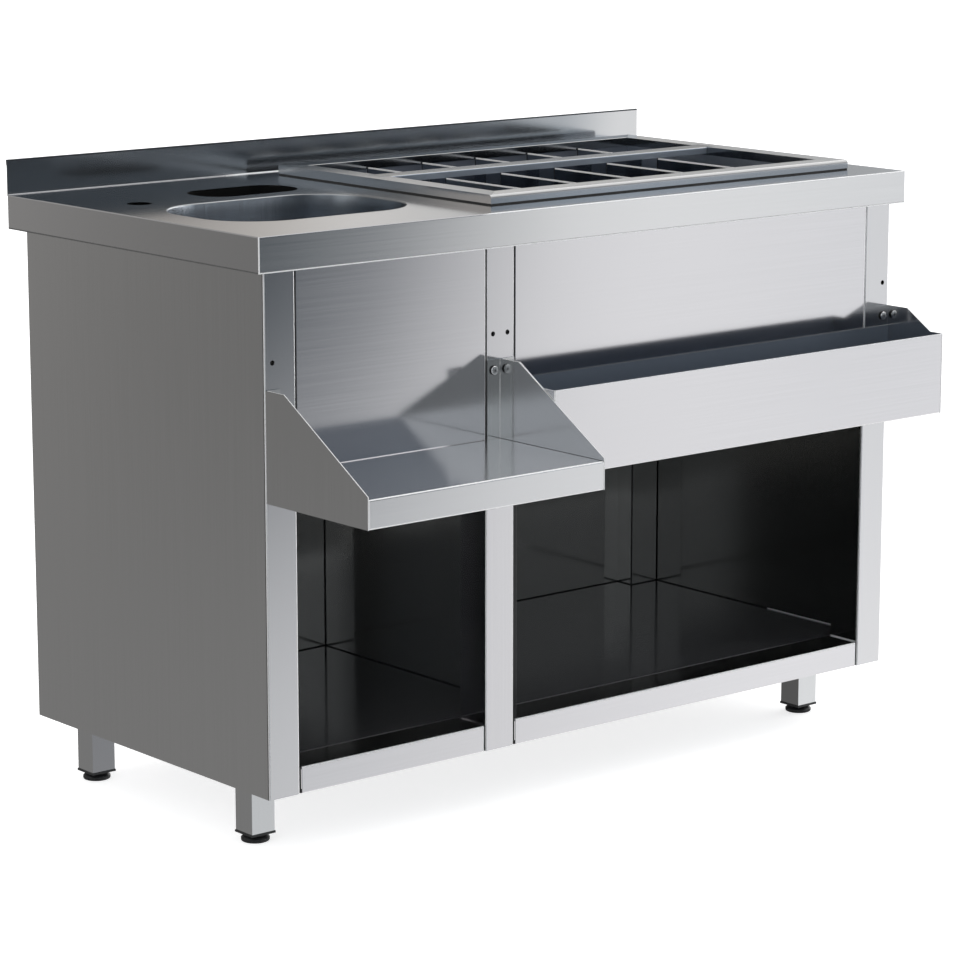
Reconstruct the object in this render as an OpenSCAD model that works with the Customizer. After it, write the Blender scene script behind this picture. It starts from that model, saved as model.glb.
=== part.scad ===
// Stainless bar station: a worktop with a sink, a waste chute and a divided ice well,
// a hanging side shelf and bottle rack, and two open bays, on four adjustable feet.
// +X is to the right along the front, +Y is to the back, +Z is up.
// The origin is on the ground, under the middle of the whole station, shelf included.

/* [Worktop] */
// Width of the worktop
unit_w = 1200; // [1080:5:1400]
// Depth of the worktop, upstand included
unit_d = 600; // [540:5:700]
// Height of the worktop above the ground
top_h = 850; // [830:5:950]
// Thickness of the worktop sheet
top_t = 1.5; // [1:0.1:2]
// Height of the front and side aprons
apron_h = 48; // [40:1:60]
// Width of the lip turned in under the aprons
apron_lip = 10; // [6:0.5:11]
// Radius of the worktop's folded edges
edge_r = 1.6; // [1.5:0.1:4]
// Height of the upstand above the worktop
upstand_h = 50; // [30:1:100]
// Height of the hem folded behind the upstand's top
hem_h = 8; // [5:0.5:15]
// Diameter of the tap hole
tap_d = 35; // [30:1:40]
// Tap hole's distance from the left edge
tap_x = 86; // [70:1:100]
// Tap hole's distance from the front edge
tap_y = 395; // [380:1:450]
// Width of the stiffening channels under the worktop
stiffener_w = 26; // [16:1:28]
// Height of the stiffening channels
stiffener_h = 25; // [15:1:40]

/* [Sink] */
// Width of the bowl's mouth
sink_w = 326; // [280:1:336]
// Depth of the bowl's mouth, front to back
sink_d = 226; // [182:1:245]
// Bowl's distance from the left edge of the worktop
sink_x = 56; // [50:1:70]
// Bowl's distance from the front edge of the worktop
sink_y = 119; // [90:1:138]
// How deep the bowl is
sink_h = 150; // [120:5:200]
// Radius of the bowl's upright corners
sink_r = 88; // [60:1:90]
// Radius between the bowl's walls and its bottom
sink_bottom_r = 35; // [20:1:45]
// Radius of the polished lip round the bowl
lip_r = 2; // [1.6:0.1:5]
// Thickness of the bowl's sheet
bowl_t = 1.2; // [0.8:0.1:1.5]
// Radius of the sink's outlet pipe
outlet_r = 20; // [16:0.5:24]
// Length of the outlet below the bowl
outlet_l = 60; // [45:1:90]
// Width of the waste's flange outside its thread
waste_flange = 12; // [8:1:20]

/* [Waste chute] */
// Width of the chute's mouth
chute_w = 168; // [120:1:176]
// Depth of the chute's mouth, front to back
chute_d = 92; // [84:1:115]
// Chute's distance from the left edge of the worktop
chute_x = 200; // [185:1:210]
// Chute's distance from the front edge of the worktop
chute_y = 380; // [378:1:415]
// Radius of the chute's corners
chute_r = 41; // [20:1:41]
// How far the chute's collar reaches down
chute_h = 50; // [20:1:90]
// Wall of the chute's collar
chute_t = 2; // [1.5:0.1:3]
// Width of the collar's flange under the worktop
chute_flange = 12; // [8:1:14]

/* [Ice well] */
// Width of the rim round the opening
rim_w = 35; // [30:1:42]
// Height of the rim above the worktop
rim_h = 14.5; // [12:0.5:25]
// Radius of the rim's front edge
rim_r = 5; // [2.5:0.5:6]
// Rim's distance from the left edge of the worktop
rim_left = 445; // [440:1:460]
// Rim's distance from the right edge of the worktop
rim_right = 55; // [48:1:60]
// Rim's distance from the front edge of the worktop
rim_front = 67; // [60:1:75]
// Rim's distance from the back edge of the worktop
rim_back = 43; // [36:1:60]
// Depth of the well below the top of its rim
well_h = 265; // [200:5:290]
// Thickness of the rim's sheet
rim_t = 1.5; // [1:0.1:2]
// Thickness of the insulation round the liner
foam_t = 15; // [10:0.5:16]
// Thickness of the seal under the rim
seal_t = 2; // [0.5:0.1:3]
// Radius of the drain pipe's end
drain_r = 13; // [8:0.5:20]
// Length of the drain pipe below the casing
drain_l = 40; // [25:1:80]
// Diameter of the holes in the perforated floor
perforation_d = 10; // [5:0.5:14]
// Distance between the perforated floor's holes
perforation_pitch = 42; // [30:1:60]
// Least distance of a hole from the perforated floor's edge
perforation_edge = 25; // [15:1:40]
// Height of the perforated floor above the well's floor
false_floor_h = 12; // [8:1:30]

/* [Dividers] */
// Number of dividers in each row
divider_n = 5; // [3:1:5]
// Drop from the rim's top to the dividers' top
divider_drop = 10; // [10:0.5:20]
// Thickness of a divider
divider_t = 1.5; // [1:0.1:2]
// Width of the foot folded under a divider
divider_foot = 22; // [15:1:40]
// Width of the crossbar between the rows
crossbar_w = 34; // [24:1:40]
// Height of the crossbar's flanges
crossbar_h = 10; // [6:0.5:10]
// Crossbar's distance from the front of the opening
crossbar_y = 235; // [150:5:260]
// How far the crossbar's tongues lie on the rim
tongue_l = 15; // [10:0.5:20]

/* [Cabinet] */
// Thickness of the cabinet's sheets
panel_t = 1.2; // [0.8:0.1:1.5]
// Cabinet's side set back from the worktop's side
side_inset = 17; // [16:0.5:25]
// Cabinet's front set back from the worktop's front
front_inset = 14; // [13:0.5:20]
// Cabinet's back set forward from the worktop's back
rear_inset = 22; // [15:1:30]
// Height of the cabinet's lower edge above the ground
base_h = 93; // [70:1:150]
// Width of the front posts
post_w = 50; // [44:1:55]
// Depth of the front posts
post_d = 57; // [40:1:60]
// Distance from the cabinet's left side to the middle post's centre
bay_w = 400; // [390:1:430]
// Height of the rails under the bays
rail_h = 37; // [30:1:60]
// Depth of the rails' top flange
rail_d = 60; // [58:1:80]
// Gap between a rail and the posts beside it
rail_gap = 4; // [1:0.5:6]
// Width of the flanges folded in along hidden edges
flange = 15; // [8:0.5:20]
// Depth of the rear rail's top flange
rear_flange = 20; // [15:1:25]
// Height of the folds under the floor's front and back edges
floor_fold = 25; // [10:1:30]
// Gap between a front panel and the posts beside it
panel_gap = 0.8; // [0.5:0.1:3]
// Height of the front panels' lower edge above the ground
panel_z = 481; // [440:1:500]
// Back panel set forward from the cabinet's back
back_inset = 25; // [20:1:32]
// Width of the rear posts
rear_post_w = 56; // [40:1:60]
// Depth of the rear posts
rear_post_d = 34; // [25:1:45]
// Distance from the middle post's centre to the partition
partition_x = 79; // [50:1:90]

/* [Shelf and rack] */
// Height of the end plates' upper edge above the ground
hang_z = 647; // [620:1:670]
// Height of the end plates
end_h = 150; // [140:1:170]
// Thickness of the end plates, the shelf and the rack
hang_t = 1.5; // [1:0.1:2]
// How far the shelf stands out from the posts
shelf_d = 216; // [150:1:250]
// Drop from the end plates' upper edge to the shelf
shelf_drop = 111; // [90:1:120]
// Height of the end plates at the shelf's front
shelf_front_h = 43; // [40:1:60]
// How far the rack stands out from the posts
rack_d = 113; // [90:1:140]
// Height of the rack's front and back walls
rack_h = 120; // [80:1:125]
// Length of the end plates' flat upper edge
end_flat = 41; // [30:1:50]
// Length of the level edge at the front of the rack's end plates
rack_flat = 24; // [10:1:40]
// Height of the strip turned down behind the shelf
shelf_tail = 20; // [12:1:35]
// Width of the hem under the shelf's front
shelf_hem = 12; // [8:1:20]
// Width of the tabs that fasten the end plates
tab_w = 24; // [21:0.5:24]
// Screw's distance from the end plate's upper edge
screw_drop = 15; // [12:0.5:20]
// Height of the spare holes above the screws
spare_rise = 50; // [30:1:80]
// Diameter of the spare holes
spare_d = 7; // [4:0.5:8]
// Diameter of the bracket screws
screw_d = 6; // [4:0.5:6]
// Length of the bracket screws' shanks
screw_l = 12; // [10:1:16]

/* [Legs] */
// Width of the square legs
leg_w = 38; // [30:1:50]
// Wall of the leg tube
leg_t = 1.5; // [1:0.1:2.5]
// Leg's distance from the cabinet's side
leg_x = 40; // [20:1:60]
// Front leg's distance from the cabinet's front
leg_front = 96; // [70:1:120]
// Rear leg's distance from the cabinet's back
leg_rear = 40; // [26:1:60]
// Gap between the ground and the leg's end
leg_end_h = 14; // [13:0.5:30]
// Thickness of the leg cap's collar
cap_t = 3; // [2:0.5:4]
// Diameter of the foot's pad
foot_d = 40; // [30:1:60]
// Height of the foot's pad
foot_h = 8; // [5:0.5:8]
// Diameter of the foot's stud
stud_d = 10; // [8:0.5:12]
// How far a foot screws out
foot_travel = 20; // [10:1:22]
// Length of stud that stays in the leg cap when a foot is out
stud_hold = 20; // [12:1:24]

/* [Hidden] */

// Seat between loose pieces, small enough to look closed
seat = 0.3;
// Running clearance round a shaft
run = 0.08;
// Overshoot of every cut
eps = 1;
// Flat facets in one bend of a folded sheet
bend_steps = 4;
$fn = 48;

// Worktop
total_d = unit_d + shelf_d - front_inset;
rear_y = total_d / 2;
front_y = rear_y - unit_d;
left_x = -unit_w / 2;
right_x = unit_w / 2;
under_z = top_h - top_t;
hem_t = 2 * top_t;

// Cabinet
side_x = unit_w / 2 - side_inset;
body_front = front_y + front_inset;
body_rear = rear_y - rear_inset;
floor_z = base_h + rail_h;
fold_r = 1.5 * panel_t;
middle_x = bay_w - side_x;
back_y = body_rear - back_inset;
wall_x = middle_x + partition_x;
post_back = body_front + post_d;

// Sink and chute
sink_cx = left_x + sink_x + sink_w / 2;
sink_cy = front_y + sink_y + sink_d / 2;
sink_z = top_h - sink_h;
washer_t = 3;
nut_h = 8;
chute_cx = left_x + chute_x + chute_w / 2;
chute_cy = front_y + chute_y + chute_d / 2;
thread_r = outlet_r + 4;
strainer_r = thread_r - 4;

// Ice well
rim_outer = [unit_w - rim_left - rim_right, unit_d - rim_front - rim_back];
well_w = rim_outer.x - 2 * rim_w;
well_d = rim_outer.y - 2 * rim_w;
well_cx = left_x + rim_left + rim_outer.x / 2;
well_cy = front_y + rim_front + rim_outer.y / 2;
rim_z = top_h + rim_h;
rim_under = rim_z - rim_t;
liner_t = panel_t;
liner_in = [well_w + 2 * rim_t, well_d + 2 * rim_t];
liner_out = liner_in + 2 * liner_t * [1, 1];
casing_t = 1;
casing_in = liner_out + 2 * foam_t * [1, 1];
casing_out = casing_in + 2 * casing_t * [1, 1];
well_floor_z = rim_z - well_h;
drain_body_r = drain_r + 3;
casing_z = well_floor_z - liner_t - foam_t - casing_t;
flange_z = rim_under - liner_t;
false_floor_z = well_floor_z + false_floor_h + rim_t;
seal_w = 6;
top_cut = casing_out + 6 * [1, 1];
bar_front = well_cy - well_d / 2 + crossbar_y;
bar_back = bar_front + crossbar_w;
divider_z = rim_z - divider_drop;
cell_w = well_w / (divider_n + 1);

// Shelf and rack
hang_low = hang_z - end_h;
shelf_z = hang_z - shelf_drop;
shelf_front = body_front - shelf_d;
rack_front = body_front - rack_d;
hang_back = body_front - hang_t - seat;
hang_r = 1.4 * hang_t;
screw_z = hang_z - screw_drop;
spare_z = screw_z + spare_rise;
screw_hole_d = screw_d + 0.5;
// End plates, by the x of their left faces: shelf left and right, rack left and right
end_x = [-side_x, middle_x - hang_t - seat / 2, middle_x + seat / 2, side_x - hang_t];
screw_x = [end_x[0] + (hang_t + tab_w) / 2, end_x[1] + (hang_t - tab_w) / 2,
           end_x[2] + (hang_t + tab_w) / 2, end_x[3] + (hang_t - tab_w) / 2];

// Legs, by the near corner of each: front left, front right, rear left, rear right
leg_left = -side_x + leg_x;
leg_right = side_x - leg_x - leg_w;
leg_front_y = body_front + leg_front;
leg_rear_y = body_rear - leg_rear - leg_w;
leg_at = [[leg_left, leg_front_y], [leg_right, leg_front_y],
          [leg_left, leg_rear_y], [leg_right, leg_rear_y]];
leg_names = ["front_left", "front_right", "rear_left", "rear_right"];
leg_plate = 70;
leg_plate_t = 3;
cap_plug_h = 25;

steel = [0.78, 0.79, 0.80];
dark_steel = [0.62, 0.63, 0.65];
black_rubber = [0.08, 0.08, 0.08];

// Unit vector from a to b
function heading(a, b) = (b - a) / norm(b - a);
// Quarter turn to the left of a heading
function left_of(d) = [-d.y, d.x];
// Vector v turned by angle a
function turned(v, a) = [v.x * cos(a) - v.y * sin(a), v.x * sin(a) + v.y * cos(a)];
// The same points in the other order
function backwards(points) = [for (i = [len(points) - 1 : -1 : 0]) points[i]];

// One face of a folded sheet: the path moved s to its left, each corner a bend of radius r
function sheet_face(path, s, r) = [
    for (i = [0 : len(path) - 1])
        let (last = len(path) - 1,
             before = heading(path[max(i - 1, 0)], path[max(i, 1)]),
             after = heading(path[min(i, last - 1)], path[min(i + 1, last)]),
             turn = atan2(cross(before, after), before * after),
             side = sign(turn),
             start = path[i] - before * r * tan(abs(turn) / 2),
             centre = start + side * r * left_of(before))
        for (k = [0 : (i == 0 || i == last) ? 0 : bend_steps])
            (i == 0 || i == last)
                ? path[i] + s * left_of(before)
                : centre - side * (r - side * s) * turned(left_of(before), turn * k / bend_steps)
];

// Section of a folded sheet that lies on the left of its path
module sheet(path, t, r) {
    polygon(concat(sheet_face(path, 0, r), backwards(sheet_face(path, t, r))));
}

// Section drawn in (y, z), pulled from x0 to x1
module along_x(x0, x1) {
    translate([x0, 0, 0]) rotate([90, 0, 90]) linear_extrude(height = x1 - x0) children();
}

// Section drawn in (x, z), pulled from y0 to y1
module along_y(y0, y1) {
    translate([0, y1, 0]) rotate([90, 0, 0]) linear_extrude(height = y1 - y0) children();
}

// Section drawn in (x, y), pulled from z0 to z1
module along_z(z0, z1) {
    translate([0, 0, z0]) linear_extrude(height = z1 - z0) children();
}

// Rectangle on its middle, with round corners
module round_rect(w, d, r) {
    square([w - 2 * r, d], center = true);
    square([w, d - 2 * r], center = true);
    for (x = [-1, 1], y = [-1, 1])
        translate([x * (w / 2 - r), y * (d / 2 - r)]) circle(r = r);
}

// Upright section w wide and h high, on its middle, with round upper corners
module round_top(w, h, r) {
    translate([-w / 2, 0]) square([w, h - r]);
    translate([-w / 2 + r, 0]) square([w - 2 * r, h]);
    for (x = [-1, 1]) translate([x * (w / 2 - r), h - r]) circle(r = r);
}

// Block with round upper edges and round upright corners, standing on z = 0
module soft_block(w, d, h, r) {
    intersection() {
        along_z(0, h) round_rect(w, d, r);
        along_y(-d / 2, d / 2) round_top(w, h, r);
        along_x(-w / 2, w / 2) round_top(d, h, r);
    }
}

// Quarter of a ring: inner radius r0, outer radius r1, in the quadrant (sx, sy)
module quarter_ring(r0, r1, sx, sy) {
    intersection() {
        difference() {
            circle(r = r1);
            circle(r = r0);
        }
        translate([min(0, sx * 2 * r1), min(0, sy * 2 * r1)]) square(2 * r1);
    }
}

// Wall section swept round a rectangle w by d with corner radius r.
// The section is drawn with x = 0 on the rectangle, and outside it where x is positive.
module swept_wall(w, d, r) {
    for (i = [0 : 3])
        rotate(90 * i) {
            cx = (i % 2 == 0 ? w : d) / 2 - r;
            cy = (i % 2 == 0 ? d : w) / 2 - r;
            translate([cx, cy, 0]) rotate_extrude(angle = 90) translate([r, 0]) children();
            translate([cx + r, cy, 0]) rotate([90, 0, 0])
                linear_extrude(height = 2 * cy) children();
        }
}

// Worktop: one sheet with aprons on three sides, an upstand, and its cut-outs
module worktop() {
    color(steel) difference() {
        union() {
            translate([0, front_y + unit_d / 2 - hem_t / 4, top_h - apron_h])
                worktop_tray(unit_w, unit_d - hem_t / 2);
            along_x(left_x, right_x) upstand_section();
        }
        translate([sink_cx, sink_cy, 0]) along_z(under_z - eps, top_h + eps)
            round_rect(sink_w + 2 * lip_r, sink_d + 2 * lip_r, sink_r + lip_r);
        translate([chute_cx, chute_cy, 0]) along_z(under_z - eps, top_h + eps)
            round_rect(chute_w, chute_d, chute_r);
        translate([well_cx, well_cy, 0]) along_z(under_z - eps, top_h + eps)
            square(top_cut, center = true);
        translate([left_x + tap_x, front_y + tap_y, under_z - eps])
            cylinder(h = top_t + 2 * eps, d = tap_d);
    }
}

// Tray turned upside down, open at the back, with a lip turned in under its aprons
module worktop_tray(w, d) {
    difference() {
        soft_block(w, d, apron_h, edge_r);
        translate([-w / 2 + top_t, -d / 2 + top_t, top_t])
            cube([w - 2 * top_t, d + eps, apron_h - 2 * top_t]);
        translate([-w / 2 + apron_lip, -d / 2 + apron_lip, -eps])
            cube([w - 2 * apron_lip, d + eps, top_t + 2 * eps]);
    }
}

// Upstand in (y, z): the sheet turned up at the back, with a hem behind its top
module upstand_section() {
    difference() {
        translate([rear_y - hem_t - edge_r, under_z]) square([edge_r + top_t, edge_r + top_t]);
        translate([rear_y - hem_t - edge_r, top_h + edge_r]) circle(r = edge_r);
    }
    translate([rear_y - hem_t, under_z]) square([top_t, top_t + upstand_h - hem_t / 2]);
    translate([rear_y - hem_t, top_h + upstand_h - hem_h]) square([hem_t, hem_h - hem_t / 2]);
    translate([rear_y - hem_t / 2, top_h + upstand_h - hem_t / 2]) circle(d = hem_t);
}

// Channels welded under the worktop, each side of the sink and right of the ice well
module worktop_stiffeners() {
    sink_right = sink_cx + sink_w / 2 + bowl_t;
    casing_left = well_cx - casing_out.x / 2;
    casing_right = well_cx + casing_out.x / 2;
    for (x = [(left_x + side_inset + left_x + sink_x - lip_r) / 2,
              (sink_right + casing_left) / 2,
              (casing_right + side_x - panel_t) / 2])
        color(dark_steel) translate([x, 0, 0])
            along_y(post_back + 5, back_y - rear_post_d - seat) stiffener_section();
}

// Stiffener in (x, z), open at the top where the worktop closes it
module stiffener_section() {
    half = stiffener_w / 2;
    low = under_z - stiffener_h;
    sheet([[-half, under_z], [-half, low], [half, low], [half, under_z]], panel_t, fold_r);
}

// Sink bowl: pressed sheet with a rolled lip, welded flush into the worktop
module sink_bowl() {
    color(steel) translate([sink_cx, sink_cy, 0]) difference() {
        union() {
            swept_wall(sink_w, sink_d, sink_r) bowl_section();
            along_z(sink_z - bowl_t, sink_z)
                round_rect(sink_w - 2 * sink_bottom_r, sink_d - 2 * sink_bottom_r,
                           sink_r - sink_bottom_r);
        }
        translate([0, 0, sink_z - bowl_t - eps])
            cylinder(h = bowl_t + 2 * eps, r = thread_r + seat);
    }
}

// Bowl wall in (out, z): lip, upright wall and the round turn to the bottom
module bowl_section() {
    low = sink_z + sink_bottom_r;
    translate([0, low]) square([bowl_t, top_h - lip_r - low]);
    translate([lip_r, top_h - lip_r]) quarter_ring(lip_r - bowl_t, lip_r, -1, 1);
    translate([-sink_bottom_r, low]) quarter_ring(sink_bottom_r, sink_bottom_r + bowl_t, 1, -1);
}

// Sink waste: flange in the bowl's bottom and threaded outlet below it
module sink_waste() {
    flange_r = thread_r + waste_flange;
    thread_l = bowl_t + washer_t + nut_h + 3;
    color(steel) translate([sink_cx, sink_cy, 0]) difference() {
        union() {
            translate([0, 0, sink_z]) cylinder(h = 1.5, r1 = flange_r, r2 = flange_r - 1);
            translate([0, 0, sink_z - thread_l]) cylinder(h = thread_l, r = thread_r);
            translate([0, 0, sink_z - outlet_l]) cylinder(h = outlet_l, r = outlet_r);
        }
        translate([0, 0, sink_z - outlet_l - eps]) cylinder(h = outlet_l + 3 * eps, r = outlet_r - 2);
        translate([0, 0, sink_z - 1]) cylinder(h = 3, r = strainer_r + seat);
    }
}

// Soft washer between the bowl and the waste nut
module waste_washer() {
    color(black_rubber) translate([sink_cx, sink_cy, sink_z - bowl_t - washer_t])
        difference() {
            cylinder(h = washer_t, r = thread_r + waste_flange - 1);
            translate([0, 0, -eps]) cylinder(h = washer_t + 2 * eps, r = thread_r + seat);
        }
}

// Nut that draws the waste tight, with six grip ribs
module waste_nut() {
    color(black_rubber) translate([sink_cx, sink_cy, sink_z - bowl_t - washer_t - nut_h])
        difference() {
            union() {
                cylinder(h = nut_h, r = thread_r + 8);
                for (a = [0 : 60 : 300])
                    rotate(a) translate([thread_r + 5, -3, 0]) cube([7, 6, nut_h]);
            }
            translate([0, 0, -eps]) cylinder(h = nut_h + 2 * eps, r = thread_r + seat);
        }
}

// Strainer that drops into the waste and lifts out by its knob
module waste_strainer() {
    hole_d = 4;
    color(steel) translate([sink_cx, sink_cy, sink_z - 1]) difference() {
        union() {
            cylinder(h = 1, r = strainer_r);
            cylinder(h = 8, r = 2.5);
            translate([0, 0, 8]) cylinder(h = 4, r1 = 5, r2 = 4);
        }
        for (ring = [[8, 8], [14, 14]], i = [0 : ring[1] - 1])
            rotate(360 * i / ring[1]) translate([ring[0] * strainer_r / 20, 0, -eps])
                cylinder(h = 3, d = hole_d);
    }
}

// Waste chute: soft black collar fixed under its cut-out by a flange, open at both ends
module waste_chute() {
    low = top_h - chute_h;
    color(black_rubber) translate([chute_cx, chute_cy, 0])
        swept_wall(chute_w, chute_d, chute_r) {
            translate([0, low]) square([chute_t, under_z - low]);
            translate([0, under_z - chute_t]) square([chute_flange, chute_t]);
        }
}

// Block w by d and h high on its middle, sharp but for its upper front edge
module round_front(w, d, h, r) {
    along_x(-w / 2, w / 2) {
        translate([-d / 2, 0]) square([d, h - r]);
        translate([-d / 2 + r, 0]) square([d - r, h]);
        translate([-d / 2 + r, h - r]) circle(r = r);
    }
}

// Rim of the ice well: a folded frame that stands on the worktop and carries the well
module well_rim() {
    skirt = rim_h - seal_t;
    inner = rim_outer - 2 * rim_t * [1, 1];
    color(steel) translate([well_cx, well_cy, top_h + seal_t]) difference() {
        round_front(rim_outer.x, rim_outer.y, skirt, rim_r);
        along_z(-eps, skirt + eps) square([well_w, well_d], center = true);
        difference() {
            translate([0, 0, -eps])
                round_front(inner.x, inner.y, skirt - rim_t + eps, rim_r - rim_t);
            along_z(-2 * eps, skirt) square(liner_in, center = true);
        }
        translate([0, bar_front + crossbar_w / 2 - well_cy, skirt - rim_t])
            along_z(0, rim_t + eps)
                square([well_w + 2 * tongue_l + 2 * seat, crossbar_w + 2 * seat], center = true);
    }
}

// Seal between the rim's skirt and the worktop
module well_seal() {
    color(black_rubber) translate([well_cx, well_cy, top_h]) along_z(0, seal_t) difference() {
        square(rim_outer - 2 * 0.6 * [1, 1], center = true);
        square(rim_outer - 2 * seal_w * [1, 1], center = true);
    }
}

// Liner: the watertight box, with a flange under the rim
module well_liner() {
    color(steel) translate([well_cx, well_cy, 0]) difference() {
        union() {
            along_z(well_floor_z - liner_t, rim_under) square(liner_out, center = true);
            along_z(flange_z, rim_under) square(casing_out, center = true);
        }
        along_z(well_floor_z, rim_under + eps) square(liner_in, center = true);
        translate([0, 0, well_floor_z - liner_t - eps])
            cylinder(h = liner_t + 2 * eps, r = drain_body_r + seat);
    }
}

// Insulation foamed between the liner and the casing
module well_insulation() {
    color([0.93, 0.86, 0.62]) translate([well_cx, well_cy, 0]) difference() {
        along_z(casing_z + casing_t, flange_z) square(casing_in, center = true);
        along_z(well_floor_z - liner_t, flange_z + eps) square(liner_out, center = true);
        translate([0, 0, casing_z])
            cylinder(h = foam_t + 2 * eps + casing_t, r = drain_body_r + seat);
    }
}

// Casing: the tray that closes the insulation from below
module well_casing() {
    color(dark_steel) translate([well_cx, well_cy, 0]) difference() {
        along_z(casing_z, flange_z) square(casing_out, center = true);
        along_z(casing_z + casing_t, flange_z + eps) square(casing_in, center = true);
        translate([0, 0, casing_z - eps]) cylinder(h = casing_t + 2 * eps, r = drain_body_r + seat);
    }
}

// Drain pipe, with a flange on the liner's floor
module well_drain() {
    collar_z = casing_z - 10;
    low = collar_z - drain_l;
    color(steel) translate([well_cx, well_cy, 0]) difference() {
        union() {
            translate([0, 0, low]) cylinder(h = drain_l + eps, r = drain_r);
            translate([0, 0, collar_z]) cylinder(h = well_floor_z - collar_z, r = drain_body_r);
            translate([0, 0, well_floor_z]) cylinder(h = 1.5, r = drain_body_r + 10);
        }
        translate([0, 0, low - eps])
            cylinder(h = well_floor_z - low + 3 * eps, r = drain_r - 1.5);
    }
}

// Perforated floor: a tray turned upside down, which the melt water drains through
module perforated_floor() {
    w = liner_in.x - 2 * seat;
    d = liner_in.y - 2 * seat;
    nx = floor((w / 2 - perforation_edge) / perforation_pitch);
    ny = floor((d / 2 - perforation_edge) / perforation_pitch);
    color(steel) translate([well_cx, well_cy, well_floor_z]) difference() {
        along_z(0, false_floor_h + rim_t) square([w, d], center = true);
        along_z(-eps, false_floor_h) square([w - 2 * rim_t, d - 2 * rim_t], center = true);
        for (i = [-nx : nx], j = [-ny : ny])
            translate([i * perforation_pitch, j * perforation_pitch, false_floor_h - eps])
                cylinder(h = rim_t + 2 * eps, d = perforation_d, $fn = 24);
    }
}

// Crossbar: a folded channel whose tongues lie in the rim
module crossbar() {
    half = well_w / 2;
    low = rim_z - crossbar_h;
    color(steel) {
        along_x(well_cx - half + seat, well_cx + half - seat)
            sheet([[bar_back, low], [bar_back, rim_z], [bar_front, rim_z], [bar_front, low]],
                  rim_t, 1.4 * rim_t);
        for (x0 = [well_cx - half - tongue_l, well_cx + half - seat])
            translate([x0, bar_front + 1.4 * rim_t, rim_under])
                cube([tongue_l + seat, crossbar_w - 2.8 * rim_t, rim_t]);
    }
}

// Divider i of a row between y0 and y1: a plate with a foot folded under it
module divider(i, y0, y1) {
    x = well_cx - well_w / 2 + i * cell_w - divider_t / 2;
    color(steel) along_y(y0 + seat, y1 - seat)
        sheet([[x, divider_z], [x, false_floor_z], [x + divider_foot, false_floor_z]],
              divider_t, 1.4 * divider_t);
}

// Left side of the cabinet in (x, y): rear flange, side, front post and its return
module side_section() {
    sheet([[-side_x + back_inset, body_rear], [-side_x, body_rear], [-side_x, body_front],
           [-side_x + post_w, body_front], [-side_x + post_w, post_back]], panel_t, fold_r);
}

// Screw hole and spare hole above it, through a post's face at x
module post_holes(x) {
    for (hole = [[screw_z, screw_hole_d], [spare_z, spare_d]])
        translate([x, body_front + panel_t + eps, hole[0]]) rotate([90, 0, 0])
            cylinder(h = panel_t + 2 * eps, d = hole[1], $fn = 32);
}

module side_panel_left() {
    color(steel) difference() {
        along_z(base_h, under_z) side_section();
        post_holes(screw_x[0]);
    }
}

module side_panel_right() {
    color(steel) difference() {
        mirror([1, 0, 0]) along_z(base_h, under_z) side_section();
        post_holes(screw_x[3]);
    }
}

// Middle post: a channel with lips, which the shelf and the rack share
module middle_post() {
    x0 = middle_x - post_w / 2;
    x1 = middle_x + post_w / 2;
    lip = flange - 3;
    color(steel) difference() {
        along_z(base_h, under_z)
            sheet([[x0 + lip, post_back], [x0, post_back], [x0, body_front],
                   [x1, body_front], [x1, post_back], [x1 - lip, post_back]], panel_t, fold_r);
        post_holes(screw_x[1]);
        post_holes(screw_x[2]);
    }
}

// Partition between the bays, folded to meet the back of the middle post
module partition() {
    color(steel) along_z(floor_z, casing_z)
        sheet([[middle_x - post_w / 4, post_back], [wall_x + panel_t, post_back],
               [wall_x + panel_t, back_y]], panel_t, fold_r);
}

// Back panel: a shallow tray, set in between the sides
module back_panel() {
    x = side_x - panel_t - seat;
    rear = body_rear - panel_t - seat;
    color(steel) along_z(floor_z, under_z)
        sheet([[-x, rear], [-x, back_y], [x, back_y], [x, rear]], panel_t, fold_r);
}

// Front panel between x0 and x1, with its sides and lower edge turned in
module front_panel(x0, x1) {
    color(steel) {
        along_z(panel_z, under_z)
            sheet([[x0, body_front + flange], [x0, body_front],
                   [x1, body_front], [x1, body_front + flange]], panel_t, fold_r);
        translate([x0 + panel_t, body_front + panel_t / 2, panel_z])
            cube([x1 - x0 - 2 * panel_t, flange, panel_t]);
    }
}

module front_panel_left() {
    front_panel(-side_x + post_w + panel_gap, middle_x - post_w / 2 - panel_gap);
}

module front_panel_right() {
    front_panel(middle_x + post_w / 2 + panel_gap, side_x - post_w - panel_gap);
}

// Bottom rail between x0 and x1: the front of the base, with a wide top flange
module bottom_rail(x0, x1) {
    back = body_front + rail_d;
    color(steel) along_x(x0, x1)
        sheet([[back, floor_z - flange], [back, floor_z], [body_front, floor_z],
               [body_front, base_h], [body_front + flange, base_h]], panel_t, fold_r);
}

module bottom_rail_left() {
    bottom_rail(-side_x + post_w + rail_gap, middle_x - post_w / 2 - rail_gap);
}

module bottom_rail_right() {
    bottom_rail(middle_x + post_w / 2 + rail_gap, side_x - post_w - rail_gap);
}

// Rear rail: closes the base at the back and carries the back panel
module rear_rail() {
    x = side_x - panel_t - seat;
    rear = body_rear - panel_t - seat;
    color(dark_steel) along_x(-x, x)
        sheet([[rear - flange, base_h], [rear, base_h], [rear, floor_z],
               [rear - rear_flange, floor_z]], panel_t, fold_r);
}

// Floor of both bays, level with the rails' flanges
module floor_panel() {
    x = side_x - panel_t - seat;
    rear = body_rear - panel_t - 2 * seat - rear_flange;
    near = body_front + rail_d + seat;
    low = floor_z - floor_fold;
    color(steel) along_x(-x, x)
        sheet([[rear, low], [rear, floor_z], [near, floor_z], [near, low]], panel_t, fold_r);
}

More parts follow.
